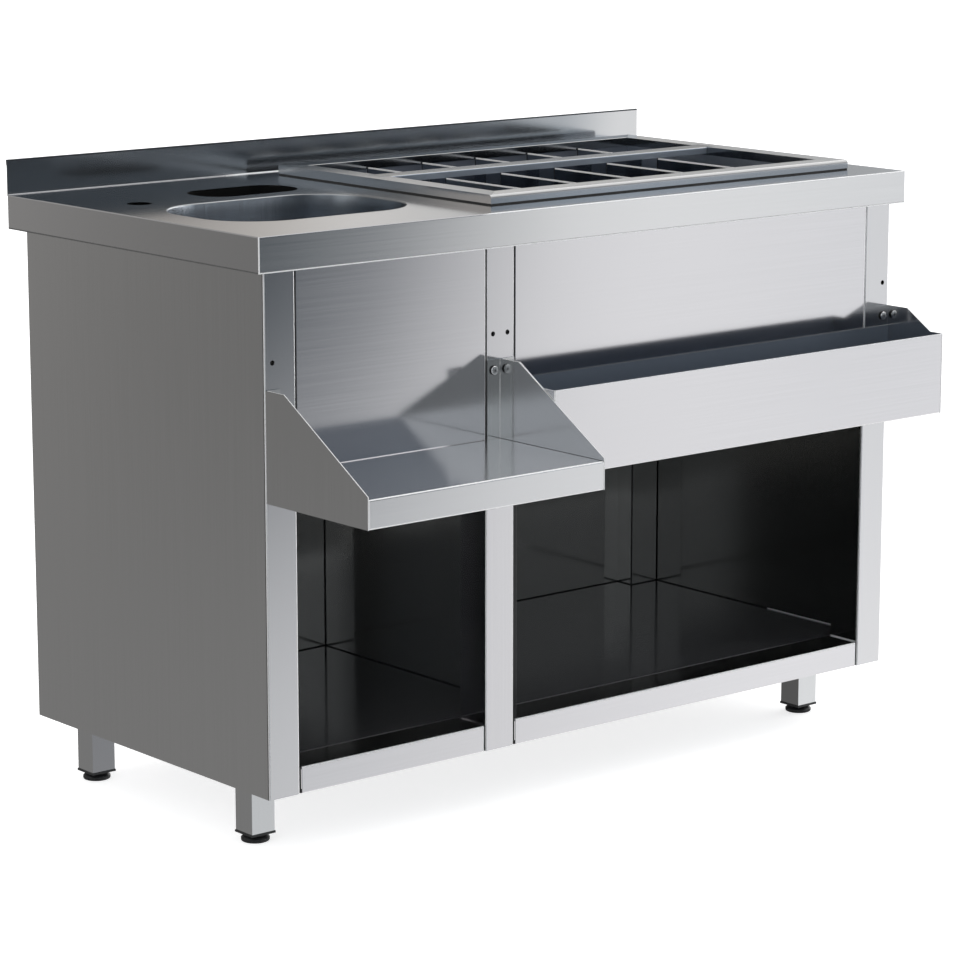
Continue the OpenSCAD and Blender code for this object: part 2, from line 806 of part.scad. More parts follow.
// Rear post from x0 to its right, up to z1
module rear_post(x0, z1) {
    x1 = x0 + rear_post_w;
    y0 = back_y - rear_post_d;
    y1 = back_y;
    color(steel) along_z(floor_z, z1)
        sheet([[x0, y1], [x0, y0], [x1, y0], [x1, y1]], panel_t, fold_r);
}

module rear_post_left() {
    rear_post(-side_x + panel_t + seat, under_z);
}

module rear_post_centre() {
    rear_post(wall_x - seat - rear_post_w, casing_z);
}

module rear_post_right() {
    rear_post(side_x - panel_t - seat - rear_post_w, casing_z);
}

// Outline of an end plate in (y, z), reaching d out from the posts, with its front at front_h
module end_outline(d, front_h, slope_end) {
    polygon([[body_front, hang_low], [body_front, hang_z], [body_front - end_flat, hang_z],
             [body_front - slope_end, hang_low + front_h],
             [body_front - d, hang_low + front_h], [body_front - d, hang_low]]);
}

// End plate k: one sheet whose tab is folded to the side named by turn, 1 right or -1 left.
// Its children draw the outline that the plate is cut to before the fold.
module end_plate(k, turn) {
    x = turn > 0 ? end_x[k] : end_x[k] + hang_t;
    y = body_front;
    color(steel) difference() {
        intersection() {
            along_z(hang_low, hang_z) translate([x, 0]) scale([turn, 1])
                sheet([[tab_w, y], [0, y], [0, y - shelf_d]], hang_t, hang_r);
            along_x(x - tab_w, x + tab_w) children();
        }
        translate([screw_x[k], body_front + eps, screw_z]) rotate([90, 0, 0])
            cylinder(h = hang_t + 2 * eps, d = screw_hole_d, $fn = 32);
    }
}

module shelf_end_left() {
    end_plate(0, 1) end_outline(shelf_d, shelf_front_h, shelf_d);
}

module shelf_end_right() {
    end_plate(1, -1) end_outline(shelf_d, shelf_front_h, shelf_d);
}

module rack_end_left() {
    end_plate(2, 1) end_outline(rack_d, rack_h, rack_d - rack_flat);
}

module rack_end_right() {
    end_plate(3, -1) end_outline(rack_d, rack_h, rack_d - rack_flat);
}

// Side shelf: floor, deep front edge and a strip turned down at the back
module side_shelf() {
    color(steel) along_x(end_x[0] + hang_t + seat, end_x[1] - seat)
        sheet([[hang_back, shelf_z - shelf_tail], [hang_back, shelf_z], [shelf_front, shelf_z],
               [shelf_front, hang_low], [shelf_front + shelf_hem, hang_low]], hang_t, hang_r);
}

// Bottle rack: a deep trough between its end plates
module bottle_rack() {
    top = hang_low + rack_h;
    color(steel) along_x(end_x[2] + hang_t + seat, end_x[3] - seat)
        sheet([[rack_front, top], [rack_front, hang_low],
               [hang_back, hang_low], [hang_back, top]], hang_t, hang_r);
}

// Screws through the tabs into the posts: pan heads with a hexagon socket
module bracket_screws() {
    head_h = 3.5;
    color([0.85, 0.85, 0.86]) for (x = screw_x)
        translate([x, body_front - hang_t, screw_z]) rotate([90, 0, 0]) difference() {
            union() {
                translate([0, 0, -screw_l]) cylinder(h = screw_l, d = screw_d, $fn = 24);
                cylinder(h = head_h, d1 = 2 * screw_d, d2 = 1.6 * screw_d, $fn = 32);
            }
            translate([0, 0, head_h - 1.8]) cylinder(h = 3, d = 0.6 * screw_d, $fn = 6);
        }
}

// Nuts behind the posts' faces
module bracket_nuts() {
    nut_t = 0.8 * screw_d;
    color([0.75, 0.72, 0.6]) for (x = screw_x)
        translate([x, body_front + panel_t + nut_t, screw_z]) rotate([90, 0, 0]) difference() {
            cylinder(h = nut_t, d = 1.8 * screw_d, $fn = 6);
            translate([0, 0, -eps]) cylinder(h = nut_t + 2 * eps, d = screw_d + 2 * run);
        }
}

// Leg: square tube with a plate welded on its top, under the floor of the bays
module leg(at) {
    top = floor_z - panel_t - leg_plate_t;
    mid = [at.x + leg_w / 2, at.y + leg_w / 2, 0];
    color(steel) translate(mid) {
        along_z(leg_end_h, top) difference() {
            square(leg_w, center = true);
            square(leg_w - 2 * leg_t, center = true);
        }
        along_z(top, top + leg_plate_t) square([leg_plate, leg_plate], center = true);
    }
}

// Plugs that close the legs' ends and hold the feet's studs
module leg_caps() {
    plug_w = leg_w - 2 * leg_t - 2 * seat;
    color(black_rubber) for (at = leg_at)
        translate([at.x + leg_w / 2, at.y + leg_w / 2, 0]) difference() {
            union() {
                along_z(leg_end_h - cap_t, leg_end_h) square(leg_w + 2, center = true);
                along_z(leg_end_h, leg_end_h + cap_plug_h) square(plug_w, center = true);
            }
            translate([0, 0, leg_end_h - cap_t - eps])
                cylinder(h = cap_t + cap_plug_h + 2 * eps, d = stud_d + 2 * run);
        }
}

// Foot: a pad with a lock nut and a stud that screws into the leg cap
module foot(at) {
    nut_top = leg_end_h - cap_t - seat;
    color(black_rubber) translate([at.x + leg_w / 2, at.y + leg_w / 2, 0]) {
        cylinder(h = foot_h - 3, d = foot_d);
        translate([0, 0, foot_h - 3]) cylinder(h = 3, d1 = foot_d, d2 = foot_d - 8);
        translate([0, 0, foot_h]) cylinder(h = nut_top - foot_h, d = 1.7 * stud_d, $fn = 6);
        translate([0, 0, foot_h]) cylinder(h = foot_travel + stud_hold - foot_h + cap_t, d = stud_d);
    }
}

worktop();
worktop_stiffeners();
sink_bowl();
sink_waste();
waste_washer();
waste_nut();
waste_strainer();
waste_chute();
well_rim();
well_seal();
well_liner();
well_insulation();
well_casing();
well_drain();
perforated_floor();
crossbar();
for (i = [1 : divider_n]) {
    divider(i, bar_back, well_cy + well_d / 2);
    divider(i, well_cy - well_d / 2, bar_front);
}
side_panel_left();
side_panel_right();
middle_post();
partition();
back_panel();
front_panel_left();
front_panel_right();
bottom_rail_left();
bottom_rail_right();
rear_rail();
floor_panel();
rear_post_left();
rear_post_centre();
rear_post_right();
side_shelf();
shelf_end_left();
shelf_end_right();
bottle_rack();
rack_end_left();
rack_end_right();
bracket_screws();
bracket_nuts();
for (i = [0 : 3]) {
    leg(leg_at[i]);
    foot(leg_at[i]);
}
leg_caps();
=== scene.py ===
import math
import bmesh
import bpy
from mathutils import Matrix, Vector


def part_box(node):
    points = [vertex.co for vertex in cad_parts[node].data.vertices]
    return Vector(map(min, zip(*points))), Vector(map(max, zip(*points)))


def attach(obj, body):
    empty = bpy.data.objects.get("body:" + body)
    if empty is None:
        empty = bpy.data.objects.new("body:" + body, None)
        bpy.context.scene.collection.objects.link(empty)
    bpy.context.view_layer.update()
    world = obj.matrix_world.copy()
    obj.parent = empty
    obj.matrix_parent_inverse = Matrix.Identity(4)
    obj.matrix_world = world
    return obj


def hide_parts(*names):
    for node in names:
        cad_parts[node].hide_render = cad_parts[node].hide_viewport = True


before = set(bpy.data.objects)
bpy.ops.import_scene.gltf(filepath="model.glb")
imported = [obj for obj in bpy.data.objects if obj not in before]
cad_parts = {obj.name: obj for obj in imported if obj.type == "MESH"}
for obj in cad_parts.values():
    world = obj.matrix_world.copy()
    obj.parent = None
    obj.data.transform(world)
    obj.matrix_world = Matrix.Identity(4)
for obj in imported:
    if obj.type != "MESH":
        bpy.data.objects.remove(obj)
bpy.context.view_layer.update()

# Camera
# It stands to the left of the station, a little above the worktop, and looks down on it
# through a long lens. The place is measured from the worktop's middle at the ground.
camera_to_left = 3.190
camera_in_front = 3.845
camera_height = 1.424
camera_down = 11.46
camera_turn = 39.82
worktop_low, worktop_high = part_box("worktop")
worktop_x = (worktop_low.x + worktop_high.x) / 2
worktop_y = (worktop_low.y + worktop_high.y) / 2
lens = bpy.data.cameras.new("camera")
lens.lens = 129.7
lens.sensor_width = 36
camera = bpy.data.objects.new("camera", lens)
camera.location = (worktop_x - camera_to_left, worktop_y - camera_in_front, camera_height)
camera.rotation_euler = (math.radians(90 - camera_down), 0, math.radians(-camera_turn))
bpy.context.scene.collection.objects.link(camera)
bpy.context.scene.camera = camera
bpy.context.scene.view_settings.view_transform = "Standard"

# Studio
# A white room for the camera. The steel sees a pale floor, a large white screen on the
# right, grey screens behind and on the left and a dark front, and in front of these a lamp
# high on the right, a dark flag and a pale card.
room = bpy.data.worlds.new("studio")
bpy.context.scene.world = room
room.use_nodes = True
tree = room.node_tree
tree.nodes.clear()


def node(tree, kind, **settings):
    """A new shader node with the given settings."""
    made = tree.nodes.new(kind)
    for name, value in settings.items():
        setattr(made, name, value)
    return made


def sum_up(tree, operation, first, second=None, third=None):
    """One Math node on sockets or plain numbers."""
    made = node(tree, "ShaderNodeMath", operation=operation)
    for place, value in enumerate((first, second, third)):
        if isinstance(value, (int, float)):
            made.inputs[place].default_value = value
        elif value is not None:
            tree.links.new(value, made.inputs[place])
    return made.outputs[0]


def fade(tree, value, low, high, start=0.0, end=1.0):
    """Smooth change from start to end while the value goes from low to high."""
    made = node(tree, "ShaderNodeMapRange", interpolation_type="SMOOTHSTEP")
    made.inputs["From Min"].default_value = low
    made.inputs["From Max"].default_value = high
    made.inputs["To Min"].default_value = start
    made.inputs["To Max"].default_value = end
    tree.links.new(value, made.inputs["Value"])
    return made.outputs[0]


def blended(tree, factor, first, second):
    """Colour mix of two sockets or colours by a factor socket."""
    made = node(tree, "ShaderNodeMix", data_type="RGBA")
    tree.links.new(factor, made.inputs["Factor"])
    for place, value in (("A", first), ("B", second)):
        if isinstance(value, tuple):
            made.inputs[place].default_value = (*value, 1)
        else:
            tree.links.new(value, made.inputs[place])
    return made.outputs["Result"]


def round_the_room(stops):
    """Ramp round the room of (degrees, light, warmth): 0 is straight in front, 90 to the right."""
    made = node(tree, "ShaderNodeValToRGB")
    marks = made.color_ramp.elements
    marks.remove(marks[-1])
    for place, (degrees, light, warmth) in enumerate(stops):
        mark = marks[0] if place == 0 else marks.new((degrees + 180) / 360)
        mark.position = (degrees + 180) / 360
        mark.color = (light * (1 + warmth), light, light * (1 - warmth), 1)
    return made


toward = node(tree, "ShaderNodeTexCoord")
split = node(tree, "ShaderNodeSeparateXYZ")
tree.links.new(toward.outputs["Generated"], split.inputs[0])
ahead = sum_up(tree, "MULTIPLY", split.outputs["Y"], -1)
turn = sum_up(tree, "ARCTAN2", split.outputs["X"], ahead)
height = sum_up(tree, "ARCSINE", split.outputs["Z"])
# The white screen's near edge leans: it stands further right the higher it is. The ramps'
# degrees hold a little below the horizon.
lean = 0.2
ramps_below_horizon = 8
leaning = sum_up(tree, "MULTIPLY_ADD", height, -lean, turn)
around = node(tree, "ShaderNodeMapRange")
around.inputs["From Min"].default_value = -math.pi + math.radians(ramps_below_horizon * lean)
around.inputs["From Max"].default_value = math.pi + math.radians(ramps_below_horizon * lean)
tree.links.new(leaning, around.inputs["Value"])
walls = round_the_room([
    (-180, 0.45, 0), (-150, 0.34, 0.02), (-146, 0.22, 0.02), (-143, 0.19, 0.01), (-118, 0.3, 0),
    (-100, 1.2, 0), (-75, 1.2, 0), (-60, 0.5, -0.05), (-30, 0.4, -0.05), (-8, 0.12, -0.15),
    (35.2, 0.06, -0.22), (36.4, 0.07, -0.2), (37.4, 0.14, -0.14), (38.4, 0.31, -0.07),
    (39.4, 0.62, -0.02), (40.4, 0.92, -0.01), (41.6, 1.05, -0.01), (43.4, 1.05, -0.01),
    (46.5, 0.93, -0.02), (52, 1.0, -0.02), (60, 2.2, 0), (116, 2.2, 0), (130, 0.5, 0),
    (148, 0.28, 0.03), (180, 0.45, 0)])
upper = round_the_room([
    (-180, 0.45, 0), (-146, 0.34, 0.02), (-118, 0.4, 0), (-100, 1.2, 0), (-75, 1.2, 0),
    (-60, 0.42, -0.05), (-30, 0.30, -0.07), (-8, 0.13, -0.15), (32.6, 0.06, -0.16),
    (34.4, 0.09, -0.14), (35.9, 0.2, -0.12), (37.4, 0.5, -0.1), (38.8, 0.92, -0.08),
    (40.5, 0.66, -0.08), (42, 0.46, -0.07), (46, 0.7, -0.04), (58, 2.2, 0), (116, 2.2, 0),
    (122, 1.2, 0), (129.5, 0.50, -0.04), (131.5, 0.36, -0.03), (135.5, 0.46, -0.01),
    (137.2, 0.57, 0), (138.9, 0.72, 0.02), (140.3, 0.53, 0.05), (142, 0.37, 0.05),
    (148, 0.28, 0.03), (180, 0.45, 0)])
ground = round_the_room([
    (-180, 0.35, 0), (-146, 0.25, 0.01), (-90, 0.30, 0), (-52, 0.12, -0.08), (-30, 0.10, -0.08),
    (0, 0.4, -0.03), (30, 0.66, -0.02), (36.5, 0.73, -0.02), (38.2, 0.78, -0.02),
    (39.6, 0.84, -0.02), (41, 0.90, -0.01), (42.8, 0.96, -0.01), (44.4, 1.05, -0.01),
    (46, 1.12, -0.01), (60, 1.1, 0), (110, 1.0, 0), (150, 0.5, 0), (180, 0.35, 0)])
for ramp in (upper, walls, ground):
    tree.links.new(around.outputs[0], ramp.inputs[0])
floor_ends = (math.radians(-16.5), math.radians(-7.5))
upper_starts = (math.radians(-1), math.radians(4))
ceiling_starts = (math.radians(35), math.radians(75))
ceiling_light = (0.85, 0.85, 0.85)
above_eye = fade(tree, height, *upper_starts)
room_light = blended(tree, fade(tree, height, *floor_ends), ground.outputs[0],
                     blended(tree, above_eye, walls.outputs[0], upper.outputs[0]))
lit = blended(tree, fade(tree, height, *ceiling_starts), room_light, ceiling_light)
# Each patch has its direction, the cosines where it is full and where it ends, and its light.
patches = (((0.66, -0.2, 0.72), 0.94, 0.86, (1.6, 1.6, 1.6)),
           ((0.572, -0.760, 0.309), 0.9962, 0.9848, (0.12, 0.145, 0.18)),
           ((-0.62, -0.69, 0.375), 0.972, 0.945, (1.0, 1.05, 1.1)))
for way, full, ended, colour in patches:
    facing = node(tree, "ShaderNodeVectorMath", operation="DOT_PRODUCT")
    facing.inputs[1].default_value = Vector(way).normalized()
    tree.links.new(toward.outputs["Generated"], facing.inputs[0])
    lit = blended(tree, fade(tree, facing.outputs["Value"], ended, full), lit, colour)
rays = node(tree, "ShaderNodeLightPath")
shown = blended(tree, rays.outputs["Is Camera Ray"], lit, (1.0, 1.0, 1.0))
glow = node(tree, "ShaderNodeBackground")
tree.links.new(shown, glow.inputs["Color"])
world_out = node(tree, "ShaderNodeOutputWorld")
tree.links.new(glow.outputs[0], world_out.inputs[0])

# Worktop
# One sheet of satin stainless, folded down into aprons and up into the splash at the back.
# It is brushed along its length. The splash ends in a hem. Painted shade darkens most of the
# splash, the front fold, the hem's top and the aprons' lower bend, and painted highlight lines
# run along the fold beside the rim, the front apron's lower edge and the front left corner.


def brushed_steel(name, colour, roughness, grain, streak=0.015, clouding=0.012, relief=0.08):
    """Stainless sheet whose fine hair lines run along the axis named by grain."""
    steel = bpy.data.materials.new(name)
    steel.use_nodes = True
    tree = steel.node_tree
    shader = tree.nodes["Principled BSDF"]
    shader.inputs["Metallic"].default_value = 1.0
    place = node(tree, "ShaderNodeTexCoord")
    noises = []
    for along, across, detail in ((6.0, 1100.0, 3.0), (3.0, 480.0, 2.0)):
        stretch = node(tree, "ShaderNodeMapping")
        stretch.inputs["Scale"].default_value = [along if axis == grain else across for axis in "XYZ"]
        tree.links.new(place.outputs["Object"], stretch.inputs["Vector"])
        hairs = node(tree, "ShaderNodeTexNoise")
        hairs.inputs["Scale"].default_value = 1.0
        hairs.inputs["Detail"].default_value = detail
        tree.links.new(stretch.outputs[0], hairs.inputs["Vector"])
        noises.append(hairs.outputs["Fac"])
    clouds = node(tree, "ShaderNodeTexNoise")
    clouds.inputs["Scale"].default_value = 3.0
    clouds.inputs["Detail"].default_value = 2.0
    tree.links.new(place.outputs["Object"], clouds.inputs["Vector"])
    lines = sum_up(tree, "MULTIPLY_ADD", noises[1], 0.6, sum_up(tree, "MULTIPLY", noises[0], 0.4))
    rough = fade(tree, sum_up(tree, "MULTIPLY_ADD", clouds.outputs["Fac"], 0.4,
                              sum_up(tree, "MULTIPLY", lines, 0.6)),
                 0.35, 0.65, roughness - streak, roughness + streak)
    tree.links.new(rough, shader.inputs["Roughness"])
    tone = fade(tree, lines, 0.38, 0.62)
    dull = tuple(c * (1 - clouding) for c in colour)
    bright = tuple(min(c * (1 + clouding), 1) for c in colour)
    tree.links.new(blended(tree, tone, dull, bright), shader.inputs["Base Color"])
    bump = node(tree, "ShaderNodeBump")
    bump.inputs["Strength"].default_value = relief
    bump.inputs["Distance"].default_value = 0.00004
    tree.links.new(noises[0], bump.inputs["Height"])
    tree.links.new(bump.outputs[0], shader.inputs["Normal"])
    return steel


def coordinates(tree, kind="Object"):
    """The three coordinates, or with Normal the three parts of the surface's direction."""
    place = node(tree, "ShaderNodeTexCoord")
    parts = node(tree, "ShaderNodeSeparateXYZ")
    tree.links.new(place.outputs[kind], parts.inputs[0])
    return parts.outputs


def over(tree, value, limit):
    """1 where the value is larger than the limit, and 0 elsewhere."""
    return sum_up(tree, "GREATER_THAN", value, limit)


def under(tree, value, limit):
    """1 where the value is smaller than the limit, and 0 elsewhere."""
    return sum_up(tree, "LESS_THAN", value, limit)


def size_of(tree, value):
    """The value without its sign."""
    return sum_up(tree, "ABSOLUTE", value)


def all_of(tree, first, *others):
    """The product of several masks: 1 where all of them are 1."""
    for other in others:
        first = sum_up(tree, "MULTIPLY", first, other)
    return first


def inside(tree, value, low, high):
    """1 where the value lies between low and high, and 0 elsewhere."""
    return all_of(tree, over(tree, value, low), under(tree, value, high))


def front_fold(tree):
    """1 on a rounded fold between a front face and a top face."""
    faces = coordinates(tree, "Normal")
    slight, full = 0.12, 0.985
    return all_of(tree, inside(tree, faces["Y"], -full, -slight), inside(tree, faces["Z"], slight, full))


def overlay(material, mask, colour, roughness, metal=1.0):
    """Gives the material another colour, roughness and metal share where the mask is 1."""
    tree = material.node_tree
    shader = tree.nodes["Principled BSDF"]
    skin = shader.inputs["Base Color"]
    tree.links.new(blended(tree, mask, skin.links[0].from_socket, colour), skin)
    for socket, value in ((shader.inputs["Roughness"], roughness), (shader.inputs["Metallic"], metal)):
        mix = node(tree, "ShaderNodeMix", data_type="FLOAT")
        tree.links.new(mask, mix.inputs["Factor"])
        if socket.links:
            tree.links.new(socket.links[0].from_socket, mix.inputs["A"])
        else:
            mix.inputs["A"].default_value = socket.default_value
        mix.inputs["B"].default_value = value
        tree.links.new(mix.outputs["Result"], socket)


def bends(material, sideways, colour, roughness=0.3, metal=1.0):
    """Paints a colour of painted light on upright bends that face the front and the side, 1 right or -1
    left.
    """
    tree = material.node_tree
    faces = coordinates(tree, "Normal")
    slant = 0.15
    to_side = over(tree, sum_up(tree, "MULTIPLY", faces["X"], sideways), slant)
    overlay(material, all_of(tree, to_side, under(tree, faces["Y"], -slant)), colour, roughness, metal)


def finish_nodes(names, material):
    """Gives CAD nodes one material."""
    for name in names:
        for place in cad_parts[name].material_slots:
            place.material = material


def outlined(material, name, edges, colour, width=0.0017):
    """Painted light lines of one colour along a front face's edges: letters of left, right, top and
    base.
    """
    tree = material.node_tree
    low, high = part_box(name)
    spots = coordinates(tree)
    beyond = 0.0001
    around_piece = 0.001
    behind_front = 0.003
    lines = 0.0
    for letter, axis, start, end in (("l", "X", low.x - beyond, low.x + width),
                                     ("r", "X", high.x - width, high.x + beyond),
                                     ("b", "Z", low.z - beyond, low.z + width),
                                     ("t", "Z", high.z - width, high.z + beyond)):
        if letter in edges:
            lines = sum_up(tree, "MAXIMUM", inside(tree, spots[axis], start, end), lines)
    mask = all_of(tree, lines, under(tree, coordinates(tree, "Normal")["Y"], to_front),
                  inside(tree, spots["X"], low.x - around_piece, high.x + around_piece),
                  inside(tree, spots["Z"], low.z - around_piece, high.z + around_piece),
                  inside(tree, spots["Y"], low.y - around_piece, low.y + behind_front))
    overlay(material, mask, colour, roughness=0.45, metal=0.3)


to_front = -0.1
white_highlight = (0.93, 0.93, 0.93)
highlight_roughness = 0.42
edge_highlight = (1.0, 1.0, 1.0)
fold_highlight = (0.97, 0.97, 0.97)
splash_height = 0.046
splash_brightens = (0.42, 0.57)
line_starts = (-0.075, -0.045)
hem_height = 0.0022
lower_bend_height = 0.0020
corner_width = 0.0014
far_away = 2
worktop_steel = brushed_steel("worktop_steel", (0.69, 0.69, 0.695), 0.105, "X")
tree = worktop_steel.node_tree
spots = coordinates(tree)
# Painted shade: the splash is painted a darker blue grey, fading out toward its right end.
splash_face = over(tree, spots["Z"], worktop_high.z - splash_height)
darker = fade(tree, spots["X"], *splash_brightens, 1.0, 0.0)
overlay(worktop_steel, all_of(tree, splash_face, darker), (0.50, 0.525, 0.55), 0.14)
# Painted shade: the rounded front fold is painted dark.
folded = front_fold(tree)
overlay(worktop_steel, folded, (0.34, 0.34, 0.35), 0.25)
rim_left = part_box("well_rim")[0].x
# Painted highlight: a near white line on the front fold, from a little left of the rim to the right end.
beside_rim = fade(tree, spots["X"], rim_left + line_starts[0], rim_left + line_starts[1])
overlay(worktop_steel, all_of(tree, folded, beside_rim), fold_highlight, 0.4, metal=0.3)
# Painted shade: the hem's top is painted near black.
hem_top = inside(tree, spots["Z"], worktop_high.z - hem_height, far_away)
overlay(worktop_steel, hem_top, (0.06, 0.065, 0.07), 0.3)
# Painted shade: the aprons' lower bend is painted dark.
lower_bend = inside(tree, spots["Z"], -far_away, worktop_low.z + lower_bend_height)
overlay(worktop_steel, lower_bend, (0.26, 0.26, 0.26), 0.5)
# Painted highlight: a white line along the front apron's lower edge.
outlined(worktop_steel, "worktop", "b", edge_highlight, 0.0016)
# Painted highlight: the front left corner is painted white and matt.
corner = all_of(tree, inside(tree, spots["X"], -far_away, worktop_low.x + corner_width),
                inside(tree, spots["Y"], -far_away, worktop_low.y + corner_width))
overlay(worktop_steel, corner, white_highlight, highlight_roughness, metal=0.0)
finish_nodes(["worktop"], worktop_steel)

# Channels under the worktop
# Folded mill finish sheet, welded to the underside, where they can't be seen.
inner_steel = brushed_steel("inner_steel", (0.33, 0.335, 0.33), 0.12, "X")
finish_nodes(["worktop_stiffeners"], inner_steel)

# Sink bowl
# Pressed from one stainless blank: a narrow rolled lip welded flush into the worktop, upright
# walls with wide corners, and a round turn into the floor, which has a hole for the waste.


def begin(name, primitive, **how):
    """Adds a primitive with nothing else selected and names it."""
    bpy.ops.object.select_all(action="DESELECT")
    primitive(**how)
    made = bpy.context.object
    made.name = made.data.name = name
    return made


def select(kind, wanted):
    """In edit mode, selects only the vertices, edges or faces that wanted() is true for."""
    bpy.ops.mesh.select_mode(type=kind)
    bpy.ops.mesh.select_all(action="DESELECT")
    shape = bmesh.from_edit_mesh(bpy.context.object.data)
    for item in {"VERT": shape.verts, "EDGE": shape.edges, "FACE": shape.faces}[kind]:
        item.select_set(bool(wanted(item)))
    shape.select_flush_mode()
    bmesh.update_edit_mesh(bpy.context.object.data)


def picked(*pieces):
    """Selects only the given pieces and makes the first one active."""
    bpy.ops.object.select_all(action="DESELECT")
    for piece in pieces:
        piece.select_set(True)
    bpy.context.view_layer.objects.active = pieces[0]


def applied(piece, kind, **settings):
    """Adds a modifier to the piece and applies it."""
    picked(piece)
    modifier = piece.modifiers.new(kind.lower(), kind)
    for name, value in settings.items():
        setattr(modifier, name, value)
    bpy.ops.object.modifier_apply(modifier=modifier.name)


def settled(piece):
    """Puts the piece's place into its mesh."""
    picked(piece)
    bpy.ops.object.transform_apply(location=True, rotation=True, scale=True)


def carved(piece, cutter):
    """Cuts the cutter out of the piece and deletes the cutter."""
    applied(piece, "BOOLEAN", operation="DIFFERENCE", object=cutter, solver="EXACT")
    bpy.data.objects.remove(cutter)


bowl_low, bowl_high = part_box("sink_bowl")
bowl_middle = (bowl_low + bowl_high) / 2
bowl_wall = 0.0012
lip_radius = 0.002
lip_steps = 4
square_corners = 4
corner_radius = 0.088
corner_steps = 24
wall_steps = 6
turn_radius = 0.035
turn_steps = 10
floor_border = 0.004
waste_hole = 0.0243
waste_cut_depth = 0.02
bowl = begin("pressed_bowl", bpy.ops.mesh.primitive_plane_add, size=1,
             location=(bowl_middle.x, bowl_middle.y, bowl_high.z))
bowl.scale = (bowl_high.x - bowl_low.x, bowl_high.y - bowl_low.y, 1)
settled(bowl)
bpy.ops.object.mode_set(mode="EDIT")
bpy.ops.mesh.select_all(action="SELECT")
bpy.ops.mesh.bevel(offset=corner_radius + lip_radius, segments=corner_steps, affect="VERTICES")
select("FACE", lambda face: len(face.verts) > 2 * square_corners)
for i in range(lip_steps):
    a, b = math.radians(90 * i / lip_steps), math.radians(90 * (i + 1) / lip_steps)
    bpy.ops.mesh.inset(thickness=lip_radius * (math.sin(b) - math.sin(a)),
                       depth=-lip_radius * (math.cos(a) - math.cos(b)))
wall_depth = bowl_high.z - bowl_low.z - bowl_wall - lip_radius - turn_radius
for i in range(wall_steps):
    bpy.ops.mesh.extrude_region_move(TRANSFORM_OT_translate={"value": (0, 0, -wall_depth / wall_steps)})
for i in range(turn_steps):
    a, b = math.radians(90 * i / turn_steps), math.radians(90 * (i + 1) / turn_steps)
    bpy.ops.mesh.inset(thickness=turn_radius * (math.cos(a) - math.cos(b)),
                       depth=-turn_radius * (math.sin(b) - math.sin(a)))
bpy.ops.mesh.inset(thickness=floor_border, depth=0)
bpy.ops.object.mode_set(mode="OBJECT")
applied(bowl, "SOLIDIFY", thickness=bowl_wall, offset=-1, use_even_offset=True)
carved(bowl, begin("waste_cut", bpy.ops.mesh.primitive_cylinder_add, vertices=64,
                   radius=waste_hole, depth=waste_cut_depth,
                   location=(bowl_middle.x, bowl_middle.y, bowl_low.z)))
picked(bowl)
bpy.ops.object.shade_smooth_by_angle(angle=math.radians(40))
lip_height = 0.0018
far_end_from, far_end_to = 0.13, 0.03
bowl_steel = brushed_steel("bowl_steel", (0.60, 0.64, 0.69), 0.22, "Z", streak=0.02, clouding=0.08)
tree = bowl_steel.node_tree
tree.nodes["Principled BSDF"].inputs["Metallic"].default_value = 0.85
spots = coordinates(tree)
# Painted shade: the bowl's right end is painted darker.
far_end = fade(tree, spots["X"], bowl_high.x - far_end_from, bowl_high.x - far_end_to)
overlay(bowl_steel, far_end, (0.22, 0.24, 0.26), 0.24)
# Painted shade: the rolled lip is painted darker.
lip = inside(tree, spots["Z"], bowl_high.z - lip_height, far_away)
overlay(bowl_steel, lip, (0.34, 0.35, 0.36), 0.25)
bowl.data.materials.append(bowl_steel)
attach(bowl, "cabinet")
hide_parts("sink_bowl")

# Waste and strainer
# A turned stainless waste with its nut and washer below the bowl, and a punched strainer
# with a knob to lift it by.


def plain_finish(name, colour, roughness, metal, grain_scale, depth):
    """Even finish with a fine grain that stirs its colour, gloss and surface."""
    made = bpy.data.materials.new(name)
    made.use_nodes = True
    tree = made.node_tree
    shader = tree.nodes["Principled BSDF"]
    shader.inputs["Metallic"].default_value = metal
    place = node(tree, "ShaderNodeTexCoord")
    grain = node(tree, "ShaderNodeTexNoise")
    grain.inputs["Scale"].default_value = grain_scale
    grain.inputs["Detail"].default_value = 4.0
    tree.links.new(place.outputs["Object"], grain.inputs["Vector"])
    low = tuple(c * 0.92 for c in colour)
    high = tuple(min(1, c * 1.08) for c in colour)
    tone = fade(tree, grain.outputs["Fac"], 0.3, 0.7)
    tree.links.new(blended(tree, tone, low, high), shader.inputs["Base Color"])
    tree.links.new(fade(tree, grain.outputs["Fac"], 0.3, 0.7, roughness * 0.85, roughness * 1.15),
                   shader.inputs["Roughness"])
    bump = node(tree, "ShaderNodeBump")
    bump.inputs["Strength"].default_value = 0.3
    bump.inputs["Distance"].default_value = depth
    tree.links.new(grain.outputs["Fac"], bump.inputs["Height"])
    tree.links.new(bump.outputs[0], shader.inputs["Normal"])
    return made


polished_steel = plain_finish("polished_steel", (0.78, 0.78, 0.78), 0.10, 1.0, 900, 0.00001)
black_rubber = plain_finish("black_rubber", (0.018, 0.018, 0.018), 0.55, 0.0, 700, 0.00003)
black_plastic = plain_finish("black_plastic", (0.02, 0.02, 0.021), 0.40, 0.0, 1200, 0.00003)
finish_nodes(["sink_waste", "waste_strainer"], polished_steel)
finish_nodes(["waste_washer"], black_rubber)
finish_nodes(["waste_nut"], black_plastic)

# Waste chute
# A soft black collar under the long cut-out behind the sink. Nothing shines in it.
chute_rubber = plain_finish("chute_rubber", (0.004, 0.004, 0.004), 0.85, 0.0, 700, 0.00003)
chute_rubber.node_tree.nodes["Principled BSDF"].inputs["Specular IOR Level"].default_value = 0.15
finish_nodes(["waste_chute"], chute_rubber)
